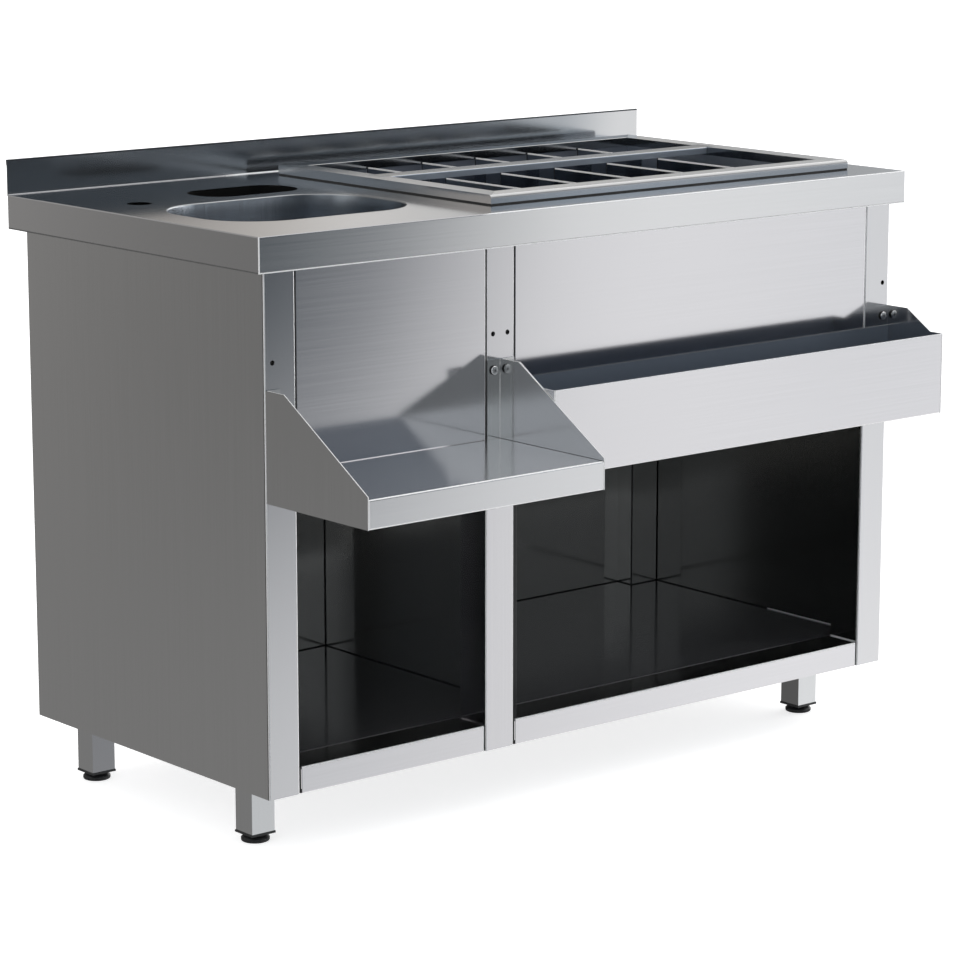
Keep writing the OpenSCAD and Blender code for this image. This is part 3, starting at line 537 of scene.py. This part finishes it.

# Ice well's rim
# A raised frame of folded satin sheet, mitred at its corners, on a black seal. Its grain
# shows along the two long sides. Its rear and left sides are painted darker as painted shade
# from the dark splash they face; its edges and upright faces carry painted shade and highlight.
rim_low, rim_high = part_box("well_rim")
rim_middle = (rim_low + rim_high) / 2
rim_width = 0.035
mitre_width = 0.001
rear_line_start, rear_line_width = -0.001, 0.005
rim_fades = (0.03, 0.23)
flat, upright, side_on = 0.97, 0.1, 0.95
rim_steel = brushed_steel("rim_steel", (0.92, 0.90, 0.87), 0.22, "X")
tree = rim_steel.node_tree
spots = coordinates(tree)
faces = coordinates(tree, "Normal")
from_middle_x = size_of(tree, sum_up(tree, "SUBTRACT", spots["X"], rim_middle.x))
from_middle_y = size_of(tree, sum_up(tree, "SUBTRACT", spots["Y"], rim_middle.y))
longer = (rim_high.x - rim_low.x - rim_high.y + rim_low.y) / 2
beside = sum_up(tree, "SUBTRACT", sum_up(tree, "SUBTRACT", from_middle_x, from_middle_y), longer)
short_sides = over(tree, beside, 0)
long_sides = under(tree, beside, 0)
overlay(rim_steel, short_sides, (0.92, 0.90, 0.87), 0.20)
# Painted shade: the left short side is painted darker.
left_side = all_of(tree, short_sides, under(tree, spots["X"], rim_middle.x))
overlay(rim_steel, left_side, (0.56, 0.555, 0.545), 0.20)
rear_edge = rim_high.y - rim_width
# Painted shade: the rear long side is painted near black.
along_rear = all_of(tree, long_sides, over(tree, spots["Y"], rear_edge + rear_line_width))
overlay(rim_steel, along_rear, (0.16, 0.16, 0.165), 0.16)
# Painted highlight: a near white line along the rear side's inner edge.
rear_line = inside(tree, spots["Y"], rear_edge + rear_line_start, rear_edge + rear_line_width)
overlay(rim_steel, all_of(tree, long_sides, rear_line), fold_highlight, 0.4, metal=0.3)
on_frame = over(tree, from_middle_x, (rim_high.x - rim_low.x) / 2 - rim_width)
mitre = all_of(tree, inside(tree, beside, -mitre_width / 2, mitre_width / 2), on_frame)
overlay(rim_steel, mitre, (0.20, 0.20, 0.20), 0.4)
# Painted shade on the rounded edges and the upright faces, darkest on the upright ends, which are
# painted lighter again toward the front.
levelness = size_of(tree, faces["Z"])
overlay(rim_steel, inside(tree, levelness, upright, flat), (0.42, 0.42, 0.42), 0.3)
overlay(rim_steel, under(tree, levelness, upright), (0.48, 0.50, 0.53), 0.12)
upright_side = over(tree, size_of(tree, faces["X"]), side_on)
overlay(rim_steel, upright_side, (0.36, 0.375, 0.39), 0.12)
nearer = fade(tree, spots["Y"], rim_low.y + rim_fades[0], rim_low.y + rim_fades[1], 1.0, 0.0)
overlay(rim_steel, all_of(tree, upright_side, nearer), (0.77, 0.75, 0.74), 0.12)
finish_nodes(["well_rim"], rim_steel)
finish_nodes(["well_seal"], black_rubber)

# Ice well
# A welded liner box of satin sheet with a drain, foam round it, a casing below, and a
# perforated false floor. Only the rear wall gets a dull, darker, partly matt blue grey as painted
# light, so that it catches some light.
square_on = 0.9
rear_wall_reach = 0.03
well_steel = brushed_steel("well_steel", (0.60, 0.64, 0.70), 0.32, "X")
tree = well_steel.node_tree
# Painted light: only the rear wall gets a dull, partly matt blue grey.
rear_wall = all_of(tree, under(tree, coordinates(tree, "Normal")["Y"], -square_on),
                   over(tree, coordinates(tree)["Y"], rear_edge - rear_wall_reach))
overlay(well_steel, rear_wall, (0.20, 0.22, 0.26), 0.4, metal=0.4)
foam = plain_finish("cream_foam", (0.85, 0.78, 0.55), 0.9, 0.0, 350, 0.0003)
finish_nodes(["well_liner", "perforated_floor"], well_steel)
finish_nodes(["well_casing"], inner_steel)
finish_nodes(["well_insulation"], foam)
finish_nodes(["well_drain"], polished_steel)

# Crossbar
# A folded channel that lies across the well on two tongues. Its front and back are painted
# blue and dull beside its warm top: painted shade.
mostly = 0.7
bar_steel = brushed_steel("crossbar_steel", (0.385, 0.375, 0.36), 0.20, "X")
tree = bar_steel.node_tree
# Painted shade: the front and back faces are painted a dull blue.
bar_sides = over(tree, size_of(tree, coordinates(tree, "Normal")["Y"]), mostly)
overlay(bar_steel, bar_sides, (0.42, 0.47, 0.54), 0.3, metal=0.55)
finish_nodes(["crossbar"], bar_steel)

# Dividers
# Ten plates that stand in the well, each with a foot. Their cut upper edges carry a painted
# white highlight, and their rear ends are painted black as painted shade.
cut_edge_width = 0.0022
past_end = 0.0002
rear_ends_at = [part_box(name)[1].y for name in ("rear_divider_1", "front_divider_1")]
divider_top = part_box("front_divider_1")[1].z
divider_steel = brushed_steel("divider_steel", (0.46, 0.49, 0.53), 0.10, "Y")
tree = divider_steel.node_tree
spots = coordinates(tree)
# Painted highlight: the cut upper edges are painted near white and matt.
cut_edge = inside(tree, spots["Z"], divider_top - cut_edge_width, far_away)
overlay(divider_steel, cut_edge, (0.95, 0.94, 0.92), 0.5, metal=0.0)
# Painted shade: the rear ends are painted black.
for end in rear_ends_at:
    rear_end = inside(tree, spots["Y"], end - cut_edge_width, end + past_end)
    overlay(divider_steel, rear_end, (0.01, 0.01, 0.012), 0.5, metal=0.0)
finish_nodes([f"{row}_divider_{i}" for row in ("rear", "front") for i in range(1, 6)], divider_steel)

# Cabinet's outside
# Side panels folded into the front posts, a middle post, two front panels and the bottom
# rails, all of satin sheet: the grain runs up on the posts and sides, along on the rest.
crease_shade_height = 0.0016
floor_crease_highlight_ends = 0.06
gap_shade = (0.05, 0.05, 0.05)
gap_shade_width = 0.0012
past_edge = 0.0001
in_front_of_post, behind_its_face = 0.002, 0.0035
shade_width = 0.001
shade_starts, shade_ends = 0.0020, 0.0036
post_low, post_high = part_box("middle_post")
post_front, post_back = post_low.y, post_high.y
panel_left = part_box("front_panel_left")[0].x
panel_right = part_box("front_panel_right")[1].x
panel_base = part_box("front_panel_left")[0].z
outer_left, outer_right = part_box("side_panel_left")[0].x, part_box("side_panel_right")[1].x
floor_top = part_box("floor_panel")[1].z
side_steel = brushed_steel("side_steel", (0.66, 0.66, 0.66), 0.13, "Z")
tree = side_steel.node_tree
spots = coordinates(tree)
faces = coordinates(tree, "Normal")
to_left = under(tree, faces["X"], -square_on)
# Painted shade: the right side panel's face inside the bay is painted dark.
in_bay = all_of(tree, to_left, over(tree, spots["X"], 0))
overlay(side_steel, in_bay, (0.19, 0.19, 0.185), 0.13)
# Painted shade: a black line where the side panel meets the bay floor, painted white toward the front as
# a painted highlight.
floor_crease_shade = all_of(tree, in_bay, inside(tree, spots["Z"], -far_away, floor_top + crease_shade_height))
overlay(side_steel, floor_crease_shade, (0.01, 0.01, 0.01), 0.5, metal=0.0)
floor_crease_highlight = all_of(tree, floor_crease_shade, under(tree, spots["Y"], floor_crease_highlight_ends))
overlay(side_steel, floor_crease_highlight, (0.9, 0.9, 0.9), 0.45, metal=0.5)
overlay(side_steel, under(tree, faces["Y"], -square_on), (0.665, 0.66, 0.67), 0.10)
# Painted highlight: white lines on the left-facing bends, along the posts' edges beside the front panels
# and along the right side's outer edge.
bends(side_steel, -1, edge_highlight, 0.45)
at_front = inside(tree, spots["Y"], post_front - in_front_of_post, post_front + behind_its_face)
for edge, start, end in ((panel_left, -0.0026, -0.0006), (panel_right, 0.0006, 0.0020),
                         (outer_right, -0.0016, 0.001)):
    line = all_of(tree, inside(tree, spots["X"], edge + start, edge + end), at_front)
    overlay(side_steel, line, edge_highlight, 0.45)
fold_shade = all_of(tree, to_left, under(tree, spots["X"], outer_left + shade_width),
                    inside(tree, spots["Y"], post_front + shade_starts, post_front + shade_ends))
overlay(side_steel, fold_shade, (0.12, 0.12, 0.12), 0.3)
post_steel = brushed_steel("post_steel", (0.68, 0.67, 0.685), 0.105, "Z", streak=0.012)
# Painted highlight lines run down the post's edges, and a painted shade line down its left edge beside
# the panel.
outlined(post_steel, "middle_post", "lr", edge_highlight)
tree = post_steel.node_tree
spots = coordinates(tree)
line_end = post_low.x + gap_shade_width
beside_panel = all_of(tree, inside(tree, spots["X"], post_low.x - past_edge, line_end),
                      inside(tree, spots["Z"], panel_base, far_away))
overlay(post_steel, beside_panel, gap_shade, 0.45, metal=0.3)
panel_steel = brushed_steel("panel_steel", (0.69, 0.68, 0.695), 0.105, "X", streak=0.012)
# Painted highlight lines on the panels' right edges and the rails' top and right edges, and painted
# shade lines on the panels' left edges.
for name in ("front_panel_left", "front_panel_right"):
    outlined(panel_steel, name, "r", edge_highlight)
    outlined(panel_steel, name, "l", gap_shade, gap_shade_width)
for name in ("bottom_rail_left", "bottom_rail_right"):
    outlined(panel_steel, name, "tr", edge_highlight)
finish_nodes(["side_panel_left", "side_panel_right"], side_steel)
finish_nodes(["middle_post"], post_steel)
finish_nodes(["front_panel_left", "front_panel_right", "bottom_rail_left", "bottom_rail_right"],
             panel_steel)

# Cabinet's inside
# Back, partition, floor and rear posts of glossy mill finish sheet, painted dark as painted
# shade. They mirror each other, and a painted black shade line runs where they stand on the
# floor. The partition's edge behind the middle post and the rear posts' edges are painted black
# as painted shade, the left-facing bends are painted matt grey, and the floor's front fold dark.
bay_metal = 0.78
flange_starts, flange_ends = -0.002, 0.004
# Painted shade: the bay sheets are painted darker than the outside steel.
wall_steel = brushed_steel("bay_wall_steel", (0.34, 0.34, 0.33), 0.11, "Z")
tree = wall_steel.node_tree
tree.nodes["Principled BSDF"].inputs["Metallic"].default_value = bay_metal
spots = coordinates(tree)
# Painted shade: a black line where the walls stand on the floor.
floor_crease_shade = inside(tree, spots["Z"], -far_away, floor_top + crease_shade_height)
overlay(wall_steel, floor_crease_shade, (0.008, 0.008, 0.008), 0.5, metal=0.0)
# Painted light: the left-facing bends are painted matt grey.
bends(wall_steel, -1, (0.30, 0.30, 0.30), 0.4, metal=0.0)
# Painted shade: the partition's edge behind the middle post is painted black.
behind_post = all_of(tree, under(tree, coordinates(tree, "Normal")["Y"], to_front),
                     inside(tree, spots["Y"], post_back + flange_starts, post_back + flange_ends))
overlay(wall_steel, behind_post, (0.01, 0.01, 0.01), 0.5, metal=0.0)
# Painted shade: black lines along the rear posts' edges.
for name in ("rear_post_left", "rear_post_centre", "rear_post_right"):
    outlined(wall_steel, name, "lr", (0.01, 0.01, 0.01))
bay_floor_steel = brushed_steel("bay_floor_steel", (0.34, 0.34, 0.355), 0.11, "X")
tree = bay_floor_steel.node_tree
tree.nodes["Principled BSDF"].inputs["Metallic"].default_value = bay_metal
# Painted shade: the floor's front fold is painted dark.
overlay(bay_floor_steel, front_fold(tree), (0.15, 0.15, 0.155), 0.3)
finish_nodes(["back_panel", "partition", "rear_post_left", "rear_post_centre",
              "rear_post_right"], wall_steel)
finish_nodes(["floor_panel"], bay_floor_steel)
finish_nodes(["rear_rail"], inner_steel)

# Rail joints
# Painted shade: a black strip in the black rubber finish fills the slit between each bottom
# rail and the posts beside it, a little behind the sheets, and stands in for the shade there.


def joined(*pieces):
    """Joins the pieces into the first one and returns it."""
    picked(*pieces)
    bpy.ops.object.join()
    return bpy.context.object


rail_slit = 0.004
shade_strip_clearance = 0.0003
shade_strip_shorter = 0.001
shade_strip_recess = 0.002
shade_strip_depth = 0.006
# Painted shade: one black strip in each slit.
shade_strips = []
for name in ("bottom_rail_left", "bottom_rail_right"):
    low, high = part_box(name)
    for x in (low.x - rail_slit / 2, high.x + rail_slit / 2):
        shade_strip = begin("rail_slit_shade_strip", bpy.ops.mesh.primitive_cube_add, size=1,
                     location=(x, low.y + shade_strip_recess + shade_strip_depth / 2, (low.z + high.z) / 2))
        shade_strip.scale = (rail_slit - 2 * shade_strip_clearance, shade_strip_depth, high.z - low.z - shade_strip_shorter)
        settled(shade_strip)
        shade_strips.append(shade_strip)
shade_strips = joined(*shade_strips)
shade_strips.name = shade_strips.data.name = "rail_slit_shade_strips"
shade_strips.data.materials.append(black_rubber)
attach(shade_strips, "cabinet")

# Side shelf
# One glossy folded sheet between two end plates, whose sloping cut edges carry a painted
# highlight. Tabs on the plates are screwed to the posts.
junction_line_width = 0.0014
junction_line_height = 0.0003
before_plate, past_shelf = 0.001, 0.0003
edges_before_post = 0.005
roughly = 0.5
shelf_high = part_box("side_shelf")[1]
shelf_steel = brushed_steel("shelf_steel", (0.68, 0.68, 0.69), 0.12, "X")
tree = shelf_steel.node_tree
spots = coordinates(tree)
# Painted light: the shelf's upward faces are painted lighter and bluer.
lying = over(tree, coordinates(tree, "Normal")["Z"], square_on)
overlay(shelf_steel, lying, (0.74, 0.75, 0.77), 0.14, metal=0.87)
# A black line along the shelf's top right edge, where it meets the right end plate.
junction_line = all_of(tree, over(tree, spots["X"], shelf_high.x - junction_line_width),
              over(tree, spots["Z"], shelf_high.z - junction_line_height))
overlay(shelf_steel, junction_line, (0.02, 0.02, 0.02), 0.5, metal=0.0)
# Painted highlight lines along the shelf's front edges.
outlined(shelf_steel, "side_shelf", "ltrb", edge_highlight, 0.0012)
finish_nodes(["side_shelf"], shelf_steel)
plate_steel = brushed_steel("end_plate_steel", (0.66, 0.66, 0.66), 0.13, "Z")
tree = plate_steel.node_tree
spots = coordinates(tree)
across = size_of(tree, coordinates(tree, "Normal")["X"])
plate_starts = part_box("shelf_end_right")[0].x - before_plate
# Painted shade: the right end plates' side faces beside the shelf are painted darker.
inner_side = all_of(tree, inside(tree, spots["X"], plate_starts, shelf_high.x + past_shelf),
                    over(tree, across, square_on))
overlay(plate_steel, inner_side, (0.46, 0.47, 0.47), 0.15)
# Painted highlight: the plates' sloping cut edges are painted white and matt.
cut_edges = all_of(tree, under(tree, across, roughly),
                   under(tree, spots["Y"], post_front - edges_before_post))
overlay(plate_steel, cut_edges, white_highlight, highlight_roughness, metal=0.0)
finish_nodes(["shelf_end_left", "shelf_end_right", "rack_end_left", "rack_end_right"], plate_steel)

# Bottle rack
# A deep trough folded from one sheet, between two end plates like the shelf's. Its front is
# bright satin. Its inside and its cut upper edges are painted blue, dull and darker as painted
# shade, and its front edges carry painted highlight lines.
front_skin = 0.0008
top_edge_height = 0.0003
rack_low, rack_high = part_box("bottle_rack")
rack_steel = brushed_steel("rack_steel", (0.69, 0.68, 0.695), 0.105, "X", streak=0.012)
tree = rack_steel.node_tree
spots = coordinates(tree)
# Painted shade: everything behind the front skin is painted a dull blue.
within = over(tree, spots["Y"], rack_low.y + front_skin)
overlay(rack_steel, within, (0.26, 0.30, 0.36), 0.35, metal=0.6)
# Painted shade: the cut upper edges are painted dark.
top_edges = inside(tree, spots["Z"], rack_high.z - top_edge_height, far_away)
overlay(rack_steel, top_edges, (0.30, 0.31, 0.33), 0.3)
# Painted highlight lines along the front's left, top and lower edges.
outlined(rack_steel, "bottle_rack", "ltb", edge_highlight, 0.0013)
finish_nodes(["bottle_rack"], rack_steel)

# Bracket screws
# Zinc plated pan heads with a cross recess hold the end plates' tabs to the posts. The
# nuts behind are plain.
head_radius = 0.0066
head_height = 0.0035
head_dome = 0.0023
slit_size = (0.0064, 0.0016, 0.0042)
slit_taper = 0.3
shank_radius = 0.003
shank_length = 0.012
shank_chamfer = 0.0006
nearly = 0.0001
tab_thickness = 0.0015
tab_middle = 0.01275
screw_drop = 0.015
first_turn = math.radians(20)
next_turn = 0.35
rim_slant = 0.62
head = begin("bracket_screw_heads", bpy.ops.mesh.primitive_cylinder_add, vertices=48,
             radius=head_radius, depth=head_height, location=(0, 0, head_height / 2))
settled(head)
bpy.ops.object.mode_set(mode="EDIT")
select("EDGE", lambda edge: all(v.co.z > head_height - nearly for v in edge.verts))
bpy.ops.mesh.bevel(offset=head_dome, segments=6, affect="EDGES")
bpy.ops.object.mode_set(mode="OBJECT")
for turned in (0, 90):
    slit = begin("cross_slit", bpy.ops.mesh.primitive_cube_add, size=1,
                 location=(0, 0, head_height), rotation=(0, 0, math.radians(turned)))
    slit.scale = slit_size
    settled(slit)
    bpy.ops.object.mode_set(mode="EDIT")
    select("FACE", lambda face: face.normal.z < -square_on)
    bpy.ops.transform.resize(value=(slit_taper, slit_taper, 1), center_override=(0, 0, 0))
    bpy.ops.object.mode_set(mode="OBJECT")
    carved(head, slit)
picked(head)
bpy.ops.object.shade_smooth_by_angle(angle=math.radians(35))
shank = begin("shank", bpy.ops.mesh.primitive_cylinder_add, vertices=24, radius=shank_radius,
              depth=shank_length, location=(0, 0, -shank_length / 2))
settled(shank)
bpy.ops.object.mode_set(mode="EDIT")
select("EDGE", lambda edge: all(v.co.z < -shank_length + nearly for v in edge.verts))
bpy.ops.mesh.bevel(offset=shank_chamfer, segments=1, affect="EDGES")
bpy.ops.object.mode_set(mode="OBJECT")
joined(head, shank)
head.rotation_euler = (math.radians(90), first_turn, 0)
settled(head)
screws = [head]
for name in ("shelf_end_left", "shelf_end_right", "rack_end_left", "rack_end_right"):
    low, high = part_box(name)
    x = low.x + tab_middle if name.endswith("left") else high.x - tab_middle
    copy = bpy.data.objects.new("screw_copy", head.data.copy())
    bpy.context.scene.collection.objects.link(copy)
    copy.location = (x, high.y - tab_thickness, high.z - screw_drop)
    copy.rotation_euler = (0, next_turn * len(screws), 0)
    settled(copy)
    screws.append(copy)
bpy.data.objects.remove(head)
heads = joined(*screws[1:])
heads.name = heads.data.name = "bracket_screw_set"
zinc = plain_finish("zinc", (0.92, 0.92, 0.92), 0.22, 1.0, 600, 0.00002)
tree = zinc.node_tree
# Painted shade: the sides of the heads and nuts are painted black.
head_rims = under(tree, size_of(tree, coordinates(tree, "Normal")["Y"]), rim_slant)
overlay(zinc, head_rims, (0.03, 0.03, 0.03), 0.3)
heads.data.materials.append(zinc)
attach(heads, "cabinet")
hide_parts("bracket_screws")
finish_nodes(["bracket_nuts"], zinc)

# Legs
# Square satin tube with a plate welded on top, and a black moulded cap in the lower end. The
# faces that the station shades are painted darker: painted shade.
leg_steel = brushed_steel("leg_steel", (0.66, 0.665, 0.67), 0.14, "Z")
tree = leg_steel.node_tree
spots = coordinates(tree)
faces = coordinates(tree, "Normal")
# Painted shade: the rear legs' front faces and the right legs' left faces are painted darker.
rear_fronts = all_of(tree, under(tree, faces["Y"], -roughly), over(tree, spots["Y"], worktop_y))
overlay(leg_steel, rear_fronts, (0.32, 0.32, 0.33), 0.2)
right_legs_left = all_of(tree, under(tree, faces["X"], -roughly), over(tree, spots["X"], worktop_x))
overlay(leg_steel, right_legs_left, (0.33, 0.33, 0.33), 0.2)
finish_nodes(["leg_front_left", "leg_front_right", "leg_rear_left", "leg_rear_right"], leg_steel)
finish_nodes(["leg_caps"], black_plastic)

# Feet
# Moulded black pads with gripping ribs, a lock nut and a threaded stud. Each screws in its
# leg cap to level the station.
pad_profile = [(0.0185, 0), (0.0194, 0.0006), (0.0194, 0.0014), (0.0199, 0.0016), (0.0199, 0.0028),
               (0.0194, 0.0030), (0.0194, 0.0034), (0.0199, 0.0036), (0.0199, 0.0048),
               (0.0190, 0.0056), (0.0172, 0.0074), (0.0160, 0.0080)]
ribs = 60
rib_share = 0.982
ribbed_from, ribbed_to = 0.0015, 0.005
stud_radius = 0.005
thread_depth = 0.0006
thread_pitch = 0.0015
nut_radius = 0.0085
nut_low, nut_high = 0.008, 0.0107
nut_chamfer = 0.0003


def drawn_up(profile, middle):
    """Extrudes the selected face upwards ring by ring, each ring (radius, height)."""
    for (r0, z0), (r1, z1) in zip(profile, profile[1:]):
        bpy.ops.mesh.extrude_region_move(TRANSFORM_OT_translate={"value": (0, 0, z1 - z0)})
        bpy.ops.transform.resize(value=(r1 / r0, r1 / r0, 1),
                                 center_override=(middle[0], middle[1], z1))


def closed_below():
    """Fills the open lower end and turns all faces outwards."""
    bpy.ops.mesh.select_mode(type="EDGE")
    bpy.ops.mesh.select_all(action="DESELECT")
    bpy.ops.mesh.select_non_manifold()
    bpy.ops.mesh.edge_face_add()
    bpy.ops.mesh.select_all(action="SELECT")
    bpy.ops.mesh.normals_make_consistent(inside=False)


for name in ("front_left", "front_right", "rear_left", "rear_right"):
    low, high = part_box("foot_" + name)
    middle = ((low.x + high.x) / 2, (low.y + high.y) / 2)
    pad = begin("levelling_foot_" + name, bpy.ops.mesh.primitive_circle_add, vertices=2 * ribs,
                radius=pad_profile[0][0], fill_type="NGON", location=(*middle, 0))
    settled(pad)
    bpy.ops.object.mode_set(mode="EDIT")
    bpy.ops.mesh.select_all(action="SELECT")
    drawn_up(pad_profile, middle)
    closed_below()
    select("VERT", lambda v: ribbed_from < v.co.z < ribbed_to and
           round(math.atan2(v.co.y - middle[1], v.co.x - middle[0]) * ribs / math.pi) % 2)
    bpy.ops.transform.resize(value=(rib_share, rib_share, 1), center_override=(*middle, 0))
    bpy.ops.object.mode_set(mode="OBJECT")
    stud_profile = [(stud_radius, nut_low)]
    while stud_profile[-1][1] < high.z - thread_pitch:
        r, z = stud_profile[-1]
        stud_profile.append((stud_radius - thread_depth if r == stud_radius else stud_radius,
                             z + thread_pitch / 2))
    stud_profile.append((stud_radius - thread_depth, high.z))
    stud = begin("stud", bpy.ops.mesh.primitive_circle_add, vertices=24, radius=stud_radius,
                 fill_type="NGON", location=(*middle, nut_low))
    settled(stud)
    bpy.ops.object.mode_set(mode="EDIT")
    bpy.ops.mesh.select_all(action="SELECT")
    drawn_up(stud_profile, middle)
    closed_below()
    bpy.ops.object.mode_set(mode="OBJECT")
    nut = begin("lock_nut", bpy.ops.mesh.primitive_cylinder_add, vertices=6, radius=nut_radius,
                depth=nut_high - nut_low, location=(*middle, (nut_low + nut_high) / 2))
    settled(nut)
    bpy.ops.object.mode_set(mode="EDIT")
    bpy.ops.mesh.select_all(action="SELECT")
    bpy.ops.mesh.bevel(offset=nut_chamfer, segments=2, affect="EDGES")
    bpy.ops.object.mode_set(mode="OBJECT")
    joined(pad, stud, nut)
    bpy.ops.object.shade_smooth_by_angle(angle=math.radians(25))
    pad.data.materials.append(black_plastic)
    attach(pad, "foot_" + name)
    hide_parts("foot_" + name)

# Floor
# A pale sheet that the feet stand on. The camera sees it white, with the station's shadow.
floor_radius = 30
floor_colour = (0.9, 0.9, 0.9, 1)
lift_to_white = (0.72, 0.72, 0.72, 1)
floor = begin("floor", bpy.ops.mesh.primitive_circle_add, vertices=96, radius=floor_radius,
              fill_type="NGON")
floor_paint = bpy.data.materials.new("floor_paint")
floor_paint.use_nodes = True
tree = floor_paint.node_tree
tree.nodes.clear()
matt = node(tree, "ShaderNodeBsdfDiffuse")
matt.inputs["Color"].default_value = floor_colour
lift = node(tree, "ShaderNodeEmission")
lift.inputs["Color"].default_value = lift_to_white
seen = node(tree, "ShaderNodeAddShader")
tree.links.new(matt.outputs[0], seen.inputs[0])
tree.links.new(lift.outputs[0], seen.inputs[1])
clear = node(tree, "ShaderNodeBsdfTransparent")
floor_rays = node(tree, "ShaderNodeLightPath")
for_metal = node(tree, "ShaderNodeMixShader")
tree.links.new(floor_rays.outputs["Is Glossy Ray"], for_metal.inputs[0])
tree.links.new(matt.outputs[0], for_metal.inputs[1])
tree.links.new(clear.outputs[0], for_metal.inputs[2])
for_camera = node(tree, "ShaderNodeMixShader")
tree.links.new(floor_rays.outputs["Is Camera Ray"], for_camera.inputs[0])
tree.links.new(for_metal.outputs[0], for_camera.inputs[1])
tree.links.new(seen.outputs[0], for_camera.inputs[2])
floor_out = node(tree, "ShaderNodeOutputMaterial")
tree.links.new(for_camera.outputs[0], floor_out.inputs[0])
floor.data.materials.append(floor_paint)
